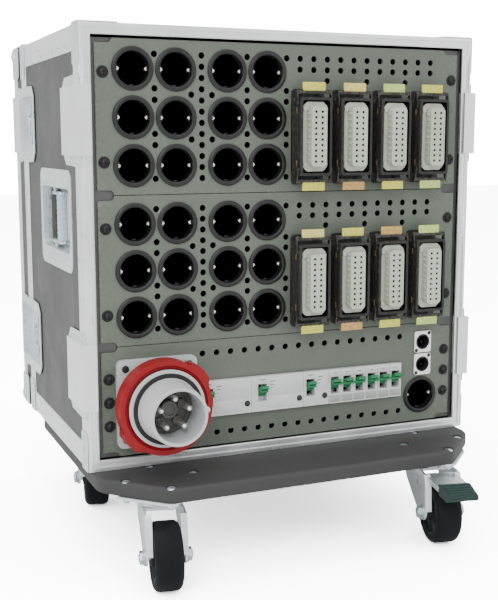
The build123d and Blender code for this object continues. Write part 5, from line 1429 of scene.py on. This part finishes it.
# ------------------------------------------------------------------------------------------ sockets
@dataclass
class RoundSockets:
    """The black round sockets with side earth contacts and the two signal sockets."""

    flange: float = 25.0
    recess: float = 19.75
    front: float = 3.0
    floor: float = 14.5
    pin_pitch: float = 19.0

    def build(self) -> None:
        """Build the mouldings, the earth contacts and the signal sockets."""
        bodies, metal, cuts = Bench(), Bench(), Bench()
        for x, z in SOCKETS:
            wall = [
                (21.3, 37.9), (21.3, 0.1), (self.flange - 0.3, 0.1), (self.flange, -0.5), (self.flange - 0.2, -1.6), (self.flange - 1.4, -2.7),
                (self.flange - 2.6, -3.0), (self.recess + 1.0, -3.0), (self.recess, -2.2), (self.recess - 0.3, 6.0),
                (self.recess - 0.5, self.floor - 1.2), (self.recess - 1.6, self.floor), (5.6, self.floor), (5.2, self.floor - 0.9),
                (0, self.floor - 0.9), (0, 37.9),
            ]
            bodies.lathe([(r, y) for r, y in wall], (x, 0, z), (0, 1, 0), 48)
            for way in (-1, 1):
                pin = z + way * self.pin_pitch / 2
                cuts.rod((x, self.floor - 3, pin), (x, self.floor + 12, pin), 2.7, steps=14)
                clip = x + way * (self.recess - 2.4)
                metal.slab((clip - 1.0, clip + 1.0), (2.4, self.floor + 0.2), (z - 2.3, z + 2.3), 0.7)
                metal.dome((clip - way * 0.6, 3.4, z), (0, -1, 0), 2.1, 1.6, 12)
                bodies.slab((x + way * 15.6, x + way * 19.6), (4.5, self.floor + 0.2), (z - 4.4, z - 2.9), 0.3)
                bodies.slab((x + way * 15.6, x + way * 19.6), (4.5, self.floor + 0.2), (z + 2.9, z + 4.4), 0.3)
                bodies.slab((x - 2.4, x + 2.4), (5.0, self.floor + 0.2), (z + way * 17.4, z + way * 19.5), 0.3)
            metal.dome((x, self.floor - 0.9, z), (0, -1, 0), 2.5, 0.9, 14)
        bodies.piece("round_sockets", SOCKET_BLACK, ROOT_BODY, ("panel_sockets",), 0.0, cuts)
        metal.piece("earth_contacts", NICKEL)
        self.signals()

    def signals(self) -> None:
        """Build the two plated signal sockets with their black inner rings."""
        plates, rings = Bench(), Bench()
        for z in (108.0, 77.6):
            x = 198.5
            corners = rounded(rectangle((x - 12.9, x + 12.9), (z - 14.4, z + 14.4)), 3.2)
            plates.pierced(corners, [circle(x, z, 10.3, 32)], Axis.Y, (-1.9, -0.02))
            rings.lathe([(8.9, -1.9), (10.2, -1.9), (10.2, 0.0), (11.7, 0.1), (11.7, 24.8), (0, 24.8), (0, 12.2), (8.9, 12.0)], (x, 0, z), (0, 1, 0), 36)
            for step in range(3):
                turn = radians(90 + 120 * step)
                rings.rod((x + 4.2 * cos(turn), 12.4, z + 4.2 * sin(turn)), (x + 4.2 * cos(turn), 7.0, z + 4.2 * sin(turn)), 1.5, steps=12)
            rings.slab((x - 2, x + 2), (-1.2, 11), (z + 7.4, z + 9.4), 0.3)
            for way in (-1, 1):
                rings.dome((x + way * 9.6, -1.9, z + way * 11.4), (0, -1, 0), 2.6, 1.0, 16)
        plates.piece("signal_plates", NICKEL, ROOT_BODY, (), 0.3)
        rings.piece("signal_rings", BUTTON_BLACK)


# ------------------------------------------------------------------------------------------ multi-pin connectors
@dataclass
class MultipinConnector:
    """One rectangular connector: its cast housing, insert, contacts and two locking levers."""

    x: float
    z: float
    label: str
    pads: tuple[str, str]
    width: float = 43.0
    length: float = 94.0
    height: float = 27.0
    pivot: Pair = (19.0, 40.0)

    def build(self, housings: Bench, inserts: Bench, contacts: Bench, springs: Bench) -> None:
        """Build the fixed parts into their shared pieces and each lever as its own."""
        self.housing(housings)
        self.insert(inserts, contacts)
        for way, tag in ((1, "top"), (-1, "bottom")):
            self.lever(way, tag, springs)

    def housing(self, bench: Bench) -> None:
        """Build the cast housing with its base flange, lugs, pegs and screws."""
        x, z = self.x, self.z
        w, h = self.width / 2, self.length / 2
        hole = rounded(rectangle((x - w + 3.5, x + w - 3.5), (z - h + 3.5, z + h - 3.5)), 3.0)
        bench.pierced(rounded(rectangle((x - w, x + w), (z - h, z + h)), 5.0), [hole], Axis.Y, (-self.height + 0.05, 0.0))
        bench.pierced(rounded(rectangle((x - w, x + w), (z - 57.8, z + 57.8)), 5.0), [hole], Axis.Y, (-2.9, -0.02))
        lip = rounded(rectangle((x - w + 0.8, x + w - 0.8), (z - h + 0.8, z + h - 0.8)), 4.6)
        bench.pierced(lip, [hole], Axis.Y, (-self.height, -self.height + 2.4))
        for way in (-1, 1):
            for side in (-1, 1):
                bench.dome((x + side * 12, -2.9, z + way * 52.6), (0, -1, 0), 3.4, 1.8, 16)
                at = z + way * self.pivot[1]
                bench.rod((x + side * w, -self.pivot[0], at), (x + side * (w + 2.7), -self.pivot[0], at), 1.95, steps=16, soft=0.3)

    def insert(self, bench: Bench, contacts: Bench) -> None:
        """Build the insert: a flange with screws, a raised block and two columns of contacts."""
        x, z = self.x, self.z
        base = rounded([(x - 16.6, z - 36), (x - 11, z - 41.8), (x + 11, z - 41.8), (x + 16.6, z - 36), (x + 16.6, z + 36), (x + 11, z + 41.8), (x - 11, z + 41.8), (x - 16.6, z + 36)], 1.6)
        bench.prism(base, Axis.Y, (-23.4, 14.9))
        holes = [circle(x + side * 4.3, z + 6.6 * (step - 4.5), 1.7, 12) for side in (-1, 1) for step in range(10)]
        block = rounded([(x - 10.4, z - 33), (x - 7, z - 35.9), (x + 7, z - 35.9), (x + 10.4, z - 33), (x + 10.4, z + 33), (x + 7, z + 35.9), (x - 7, z + 35.9), (x - 10.4, z + 33)], 1.5)
        bench.pierced(block, holes, Axis.Y, (-34.95, -23.0))
        for side in (-1, 1):
            for way in (-1, 1):
                bench.rod((x + side * 13.4, -23.4, z + way * 33), (x + side * 13.4, -25.0, z + way * 33), 2.9, steps=16, soft=0.4)
            for step in range(9):
                notch = z + 7.0 * (step - 4)
                bench.slab((x + side * 10.3, x + side * 11.6), (-31.5, -23.2), (notch - 1.5, notch + 1.5), 0.3)
        for side in (-1, 1):
            for step in range(10):
                at = z + 6.6 * (step - 4.5)
                contacts.lathe([(0.9, 0), (1.62, 0), (1.62, 8.0), (0.9, 8.0)], (x + side * 4.3, -33.4, at), (0, 1, 0), 10)

    def lever(self, way: int, tag: str, springs: Bench) -> None:
        """Build a locking lever: two arms, a bow and a coloured thumb pad."""
        body = f"lever_{self.label}_{tag}"
        x = self.x
        at = self.z + way * self.pivot[1]
        out = self.pivot[0]
        bench = Bench()
        arm = [(-out - 4.4, at), (-out - 3.6, at - way * 3.2), (-out, at - way * 4.4), (-out + 3.6, at - way * 3.2), (-out + 4.4, at), (-out + 2.2, at + way * 9), (-out + 1.6, at + way * 16), (-out - 1.6, at + way * 16), (-out - 2.8, at + way * 9)]
        for side in (-1, 1):
            near = x + side * (self.width / 2 + 0.5)
            bench.pierced(arm, [circle(-out, at, 2.1, 14)], Axis.X, sorted((near, near + side * 1.8)))
        reach = self.width / 2 + 2.3
        bow = rounded([(x - reach, at + way * 11.5), (x - 15, at + way * 12.0), (x + 15, at + way * 12.0), (x + reach, at + way * 11.5), (x + reach, at + way * 15.0), (x + 17, at + way * 16.1), (x - 17, at + way * 16.1), (x - reach, at + way * 15.0)], 1.2)
        bench.prism(bow, Axis.Y, (-out - 1.4, -out + 1.4), 0.4)
        bench.piece(f"lever_bow_{self.label}_{tag}", HOUSING_BLACK, body, (body,), 0.2)
        pad = Bench()
        z = sorted((at + way * 14.6, at + way * 25.3))
        pad.slab((x - 15.4, x + 15.4), (-out - 1.45, -out + 0.45), z, 0.7)
        for step in range(4):
            rib = at + way * (17.4 + 2.2 * step)
            pad.slab((x - 13.6, x + 13.6), (-out - 1.5, -out - 1.2), (rib - 0.45, rib + 0.45))
        pad.piece(f"lever_pad_{self.label}_{tag}", PADS[self.pads[0 if way > 0 else 1]], body, (), 0.2)
        for side in (-1, 1):
            wall = x + side * (self.width / 2)
            springs.lathe([(2.3, 0), (3.3, 0), (3.3, 0.35), (2.3, 0.35)], (wall + side * 0.05, -out, at), (side, 0, 0), 20)
            springs.slab((wall + side * 0.05, wall + side * 0.4), (-out + 1.5, -out + 3.1), (at - way * 12, at), 0.1)


# ------------------------------------------------------------------------------------------ supply inlet
@dataclass
class SupplyInlet:
    """The five-pole supply inlet: flange, collar, gasket, shroud, core, pins and red bayonet ring."""

    x: float = -174.6
    z: float = 64.5

    def build(self) -> None:
        """Build every part of the inlet."""
        at = (self.x, 0, self.z)
        forward = (0, -1, 0)
        flange = Bench()
        outline = rounded(rectangle((self.x - 49.9, self.x + 49.9), (self.z - 53.4, self.z + 53.4)), 8.0, 6)
        screws = [(self.x + u * 40.0, self.z + v * 43.25) for u in (-1, 1) for v in (-1, 1)]
        flange.pierced(outline, [circle(*p, 3.0, 18) for p in screws], Axis.Y, (-7.9, 0.0))
        flange.lathe([(33, -7.9), (49.7, -7.9), (49.0, -19.4), (45.0, -19.6), (45.0, -42.4), (46.6, -42.6), (46.6, -44.4), (45.4, -45.0), (33, -45.0)],
                     at, (0, 1, 0), 72)
        flange.lathe([(0, 0.1), (34.8, 0.1), (34.8, 59.8), (0, 59.8)], at, (0, 1, 0), 48)
        flange.piece("inlet_base", INLET_WHITE, ROOT_BODY, ("supply_inlet",), 0.4)
        shroud = Bench()
        shroud.lathe(
            [(30.4, 38), (38.4, 44.4), (37.9, 47.5), (36.4, 49), (35.8, 66), (34.6, 80), (34.2, 84.0), (33.9, 87.2), (33.2, 87.9), (31.0, 87.9), (30.2, 87.0), (30.1, 60)],
            at, forward, 72,
        )
        key = radians(10)
        shroud.turn(Matrix.Identity(4))
        shroud.rod((self.x + 33.4 * cos(key), -60.5, self.z + 33.4 * sin(key)), (self.x + 33.4 * cos(key), -87.6, self.z + 33.4 * sin(key)), 3.6, steps=20, soft=0.8)
        for step in range(12):
            turn = 2 * pi * (step + 0.5) / 12
            shroud.rod((self.x + 35.3 * cos(turn), -50, self.z + 35.3 * sin(turn)), (self.x + 33.9 * cos(turn), -79, self.z + 33.9 * sin(turn)), 1.2, steps=8)
        shroud.piece("inlet_shroud", INLET_WHITE, ROOT_BODY, (), 0.2)
        gasket = Bench()
        gasket.lathe([(37.4, 45.0), (42.2, 45.0), (42.6, 46.6), (41.6, 48.4), (38.4, 48.8), (37.4, 47.6)], at, forward, 64)
        gasket.piece("inlet_gasket", GASKET)
        core = Bench()
        core.lathe([(0, 38.5), (30.3, 38.5), (30.3, 41), (29.3, 43), (24.5, 43.0), (23.7, 41.6), (11.5, 41.6), (10.9, 48.5), (9.9, 49.3), (7.0, 49.3), (6.2, 48.2), (0, 48.2)], at, forward, 56)
        core.piece("inlet_core", INLET_DARK)
        self.pins()
        self.ring()
        heads = Bench()
        for u, v in screws:
            heads.lathe([(0, -10), (2.7, -10), (2.7, 7.9), (4.4, 7.9), (4.3, 9.2), (3.2, 10.2), (0, 10.4)], (u, 0, v), forward, 20)
        heads.piece("inlet_screws", BLACK_SCREW)

    def pins(self) -> None:
        """Build the five round contact pins with domed tips."""
        bench = Bench()
        collars = Bench()
        for step in range(5):
            turn = radians(90 + 72 * step)
            at = (self.x + 18 * cos(turn), 0, self.z + 18 * sin(turn))
            dome = [(3.4 * cos(pi / 2 * i / 4), 70.5 + 3.4 * sin(pi / 2 * i / 4)) for i in range(5)]
            bench.lathe([(0, 39), (3.4, 39), *dome], at, (0, -1, 0), 20)
            collars.lathe([(3.5, 41), (5.6, 41), (5.4, 45.4), (3.5, 45.8)], at, (0, -1, 0), 20)
        bench.piece("inlet_pins", NICKEL)
        collars.piece("inlet_pin_collars", INLET_DARK)

    def ring(self) -> None:
        """Build the red bayonet ring with its scalloped grips and two lugs."""
        bench = Bench()
        outline: Outline = []
        steps = 144
        for step in range(steps):
            turn = 2 * pi * step / steps
            lug = max(0.0, abs(cos(turn - radians(42))) - 0.955) / 0.045
            bulge = min(1.0, lug * 1.6)
            outline.append((self.x + (56.9 + 4.9 * bulge) * cos(turn), self.z + (56.9 + 4.9 * bulge) * sin(turn)))
        hole = circle(self.x, self.z, 50.6, 96)
        bench.pierced(outline, [hole], Axis.Y, (-41.9, -20.6))
        inner = [(45.6, 22.5), (50.9, 21.5), (50.9, 39.5), (49.5, 41.0), (45.6, 38.0)]
        bench.lathe(inner, (self.x, 0, self.z), (0, -1, 0), 96)
        for step in range(14):
            for lug in (42, 222):
                turn = radians(lug + (step - 6.5) * 2.9)
                reach = 61.3 if abs(step - 6.5) < 4 else 58.6
                bench.rod((self.x + reach * cos(turn), -23.0, self.z + reach * sin(turn)), (self.x + reach * cos(turn), -39.8, self.z + reach * sin(turn)), 0.55, steps=6)
        bench.piece("red_bayonet_ring", RING_RED, "bayonet_ring", ("bayonet_ring",), 0.9)


# ------------------------------------------------------------------------------------------ breakers
@dataclass
class BreakerRow:
    """The breakers on their rail behind the inlet panel's window."""

    start: float = -124.3
    module: float = 18.0
    z: float = 60.5
    face: float = 6.0
    rcd_modules: tuple[int, ...] = (4, 4, 2)
    mcb_modules: tuple[int, ...] = (3, 3)
    lean: float = 25.0
    reach: float = 19.0

    def spans(self) -> list[Pair]:
        """Give each breaker's left and right edges."""
        edges, x = [], self.start
        for count in self.rcd_modules + self.mcb_modules:
            edges.append((x, x + count * self.module))
            x += count * self.module
        return edges

    def window(self) -> Pair:
        """Give the row's left and right ends."""
        spans = self.spans()
        return spans[0][0], spans[-1][1]

    def columns(self) -> list[list[float]]:
        """Give the x of every toggle, breaker by breaker."""
        found = []
        for index, (left, right) in enumerate(self.spans()):
            if index < len(self.rcd_modules):
                found.append([left + (15.0 if right - left > 40 else 10.0)])
            else:
                found.append([left + self.module * (step + 0.5) for step in range(3)])
        return found

    def build(self) -> None:
        """Build the mouldings, toggles and test buttons."""
        white, shade, marks = Bench(), Bench(), Bench()
        axis_z = self.z + 1.5
        for (left, right), columns in zip(self.spans(), self.columns()):
            x = (left + 0.2, right - 0.2)
            white.slab(x, (3.0, 61.9), (self.z - 42.4, self.z + 42.4), 0.8)
            slots = [rectangle((c - 5.9, c + 5.9), (axis_z - 11, axis_z + 11)) for c in columns]
            if len(columns) == 1:
                slots.append(circle(right - 5.5, self.z - 10.5, 3.9, 24))
            outline = rounded(rectangle(x, (self.z - 22.4, self.z + 22.4)), 0.8, 2)
            white.pierced(outline, slots, Axis.Y, (-self.face + 0.3, 3.0))
            self.face_relief(white, shade, marks, x, columns)
        cut = Bench()
        for columns in self.columns():
            for c in columns:
                cut.slab((c - 5.9, c + 5.9), (-1.0, 9.9), (axis_z - 11, axis_z + 11))
        for index in range(len(self.rcd_modules)):
            right = self.spans()[index][1]
            cut.rod((right - 5.5, -1.0, self.z - 10.5), (right - 5.5, 4.9, self.z - 10.5), 3.9, steps=24)
        white.piece("breaker_cases", BREAKER_WHITE, ROOT_BODY, ("breakers",), 0.25, cut)
        shade.piece("breaker_lower_covers", BREAKER_SHADE, ROOT_BODY, (), 0.2)
        marks.piece("breaker_seams", BUTTON_BLACK)
        rail = Bench()
        low, high = self.window()
        rail.slab((low - 3.9, high + 3.9), (62.2, 69.4), (self.z - 17.4, self.z + 17.4), 0.5)
        rail.piece("breaker_rail", ZINC)
        for index, columns in enumerate(self.columns()):
            self.toggle(index, columns, axis_z)
        for index in range(len(self.rcd_modules)):
            self.button(index, self.spans()[index][1] - 5.5)

    def face_relief(self, white: Bench, shade: Bench, marks: Bench, x: Pair, columns: list[float]) -> None:
        """Add the raised fields, lower covers and module seams of one breaker's face."""
        plane = -self.face + 0.3
        if len(columns) == 1:
            left = columns[0] + 8.0
            white.slab((left, x[1] - 1.4), (plane - 0.28, plane + 0.3), (self.z - 3.0, self.z + 19.5), 0.15)
            white.slab((left, x[1] - 11.2), (plane - 0.28, plane + 0.3), (self.z - 19.5, self.z - 5.0), 0.15)
            for step in range(3):
                marks.slab((left + 2.5, left + 9.5 - 2 * step), (plane - 0.29, plane), (self.z + 14.5 - 4.2 * step, self.z + 15.4 - 4.2 * step))
            marks.slab((columns[0] - 4.4, columns[0] + 4.4), (plane - 0.1, plane), (self.z + 17.4, self.z + 18.2))
        else:
            for column in columns:
                white.slab((column - 7.8, column + 7.8), (plane - 0.28, plane + 0.3), (self.z + 13.4, self.z + 21.0), 0.15)
                shade.slab((column - 7.8, column + 7.8), (plane - 0.28, plane + 0.3), (self.z - 20.8, self.z - 12.0), 0.15)
                marks.slab((column - 3.0, column + 3.0), (plane - 0.29, plane), (self.z + 17.0, self.z + 17.8))
            for column in columns[:-1]:
                seam = column + self.module / 2
                marks.slab((seam - 0.12, seam + 0.12), (plane - 0.05, plane + 0.5), (self.z - 22.2, self.z + 22.2))

    def toggle(self, index: int, columns: list[float], axis_z: float) -> None:
        """Build one handle: a barrel and waisted blade for each pole, and the bar that ties them."""
        fixed = len(self.rcd_modules)
        name = f"rcd_toggle_{index + 1}" if index < fixed else f"mcb_handle_{index - fixed + 1}"
        bench = Bench()
        rise = radians(self.lean)
        out, up = -cos(rise), sin(rise)
        side = (up, cos(rise))
        for c in columns:
            bench.rod((c - 5.4, 3.0, axis_z), (c + 5.4, 3.0, axis_z), 6.4, steps=36, soft=0.3)
            blade = []
            for along, half in ((4.0, 2.4), (9.0, 2.4), (15.0, 1.7), (self.reach - 0.6, 2.2), (self.reach, 1.6)):
                blade.append((3.0 + out * along + side[0] * half, axis_z + up * along + side[1] * half))
            for along, half in ((self.reach, -1.6), (self.reach - 0.6, -2.2), (15.0, -2.2), (9.0, -2.4), (4.0, -2.4)):
                blade.append((3.0 + out * along + side[0] * half, axis_z + up * along + side[1] * half))
            bench.prism(blade, Axis.X, (c - 5.3, c + 5.3), 0.5)
        bar = rise - radians(14)
        y, z = 3.0 - 14.5 * cos(bar), axis_z + 14.5 * sin(bar)
        bench.rod((columns[0] - 5.4, y, z), (columns[-1] + 5.4, y, z), 1.55, steps=16, soft=0.4)
        bench.piece(f"green_{name}", TOGGLE_GREEN, name, (name,), 0.2)

    def button(self, index: int, x: float) -> None:
        """Build one domed test button."""
        name = f"test_button_{index + 1}"
        bench = Bench()
        arc = [(3.4 * cos(pi / 2 * i / 4), 6.6 + 1.1 * sin(pi / 2 * i / 4)) for i in range(5)]
        bench.lathe([(0, -2.9), (3.4, -2.9), *arc], (x, 0, self.z - 10.5), (0, -1, 0), 24)
        bench.piece(f"cap_{name}", BUTTON_BLACK, name, (name,))


# ------------------------------------------------------------------------------------------ studio
@dataclass
class Studio:
    """The pale floor, soft lights and camera."""

    eye: tuple[float, float, float] = (-543.7, -1155.9, 372.1)
    heading: float = 22.998
    pitch: float = 8.727
    roll: float = 0.065
    focal_px: float = 1029.7
    frame_px: Pair = (498.0, 600.0)
    sensor: float = 36.0
    glow: float = 8.0
    ambient: float = 1.3

    def build(self) -> None:
        """Build the floor, the lights, the world and the camera."""
        bench = Bench()
        ground = -PANEL_Z
        bench.slab((-9000, 9000), (-9000, 9000), (ground - 20, ground - 0.0))
        floor = bpy.data.objects.new("studio_floor", bench.mesh("studio_floor"))
        bpy.context.scene.collection.objects.link(floor)
        floor.data.materials.append(self.paper())
        self.world()
        self.light("key", (-1400, -1900, 1900), 1300, 34.0)
        self.light("fill", (1900, -1500, 1200), 1800, 8.0)
        self.light("top", (0, 100, 2300), 1800, 22.0)
        self.light("side", (-2300, 500, 900), 1400, 12.0)
        self.camera()

    def paper(self) -> bpy.types.Material:
        """Make the floor's white paper, which the camera sees brighter than the rack does."""
        material = bpy.data.materials.new("studio_paper")
        material.use_nodes = True
        tree = material.node_tree
        shade = Shade(tree)
        seen = shade.node("ShaderNodeLightPath").outputs["Is Camera Ray"]
        colour = shade.mix(seen, (0.9, 0.9, 0.9, 1.0), (self.glow, self.glow, self.glow, 1.0))
        matt = shade.node("ShaderNodeBsdfDiffuse", {"Color": colour})
        tree.links.new(matt.outputs[0], tree.nodes["Material Output"].inputs["Surface"])
        tree.nodes.remove(tree.nodes["Principled BSDF"])
        return material

    def world(self) -> None:
        """Give the studio an even white surround that the camera sees as pure white."""
        world = bpy.data.worlds.new("studio")
        world.use_nodes = True
        tree = world.node_tree
        back = tree.nodes["Background"]
        back.inputs["Color"].default_value = (1.0, 1.0, 1.0, 1.0)
        shade = Shade(tree)
        seen = shade.node("ShaderNodeLightPath").outputs["Is Camera Ray"]
        level = shade.math("ADD", shade.math("MULTIPLY", seen, 2.0 * self.glow), self.ambient)
        tree.links.new(level, back.inputs["Strength"])
        bpy.context.scene.world = world

    def light(self, name: str, at: Sequence[float], size: float, power: float) -> None:
        """Hang one soft square light that faces the rack."""
        lamp = bpy.data.lights.new(name, "AREA")
        lamp.size = size * MM
        lamp.energy = power
        holder = bpy.data.objects.new(name, lamp)
        place = TO_ROW @ Vector(at)
        holder.location = place
        aim = TO_ROW @ Vector((0, 120, 200))
        holder.rotation_euler = (aim - place).to_track_quat("-Z", "Y").to_euler()
        bpy.context.scene.collection.objects.link(holder)

    def camera(self) -> None:
        """Stand the camera at eye height to the left, looking slightly down."""
        lens = bpy.data.cameras.new("camera")
        lens.sensor_fit = "VERTICAL"
        lens.sensor_height = self.sensor
        lens.sensor_width = self.sensor
        lens.lens = self.focal_px / self.frame_px[1] * self.sensor
        lens.clip_start = 0.05
        lens.clip_end = 60.0
        holder = bpy.data.objects.new("camera", lens)
        turn = Matrix.Rotation(radians(-self.heading), 4, "Z")
        tilt = Matrix.Rotation(radians(90 - self.pitch), 4, "X")
        lean = Matrix.Rotation(radians(-self.roll), 4, "Z")
        holder.matrix_world = Matrix.Translation(TO_ROW @ Vector(self.eye)) @ turn @ tilt @ lean
        bpy.context.scene.collection.objects.link(holder)
        bpy.context.scene.camera = holder


# ------------------------------------------------------------------------------------------ all together
def castors() -> list[Castor]:
    """Describe the four castors as they stand."""
    yaws = {"front_left": -10.0, "front_right": -12.0, "rear_left": -11.0, "rear_right": -14.0}
    return [Castor(corner, yaw, corner.endswith("right")) for corner, yaw in yaws.items()]


def latches() -> list[Latch]:
    """Describe the eight latches."""
    return [
        Latch(end, hand, level, side, height)
        for end in ("front", "rear")
        for side, hand in SIDES
        for level, height in zip(("lower", "upper"), CASE.latch_heights)
    ]


PAD_TONES = (
    ("straw", "yellow"), ("yellow", "amber"), ("amber", "yellow"), ("lime", "lime"),
    ("yellow", "yellow"), ("straw", "amber"), ("lime", "yellow"), ("yellow", "lime"),
)


def connectors() -> None:
    """Build the eight multi-pin connectors with their shared pieces."""
    housings, inserts, contacts, springs = Bench(), Bench(), Bench(), Bench()
    for index, ((x, z), pads) in enumerate(zip(PLUGS, PAD_TONES)):
        label = f"{('lower', 'upper')[index // 4]}_{index % 4 + 1}"
        MultipinConnector(x, z, label, pads).build(housings, inserts, contacts, springs)
    housings.piece("multipin_shells", HOUSING_BLACK, ROOT_BODY, ("multipin_housings",), 0.35)
    inserts.piece("multipin_blocks", INSERT_GREY, ROOT_BODY, ("multipin_inserts",), 0.15)
    # The contact sleeves carry the painted hole shade, not their own metal colour.
    contacts.piece("multipin_contacts", PAINTED_HOLE_SHADE)
    springs.piece("lever_springs", BRASS)


def main() -> None:
    """Build the whole rack, sub-assembly by sub-assembly."""
    logging.basicConfig(level=logging.INFO, format="%(message)s")
    wheels = castors()
    for castor in wheels:
        castor.build()
        LOG.info("castor %s", castor.corner)
    CastorPlates().build(wheels)
    CastorBoard().build(wheels)
    LOG.info("castor board")
    CaseShell().build()
    LOG.info("case shell")
    dishes, hooks = Bench(), Bench()
    for latch in latches():
        latch.build(dishes, hooks)
    dishes.piece("latch_pans", ZINC, ROOT_BODY, ("latch_dishes",), 0.2)
    hooks.piece("latch_hooks", BLUE_ZINC, ROOT_BODY, (), 0.1)
    LOG.info("latches")
    RearLid().build()
    for side, hand in SIDES:
        SideHandle(side, hand).build()
    LOG.info("lid and handles")
    row = BreakerRow()
    Front().build(row.window())
    RoundSockets().build()
    LOG.info("panels and sockets")
    connectors()
    SupplyInlet().build()
    row.build()
    LOG.info("connectors, inlet and breakers")
    Studio().build()


if __name__ == "__main__":
    main()
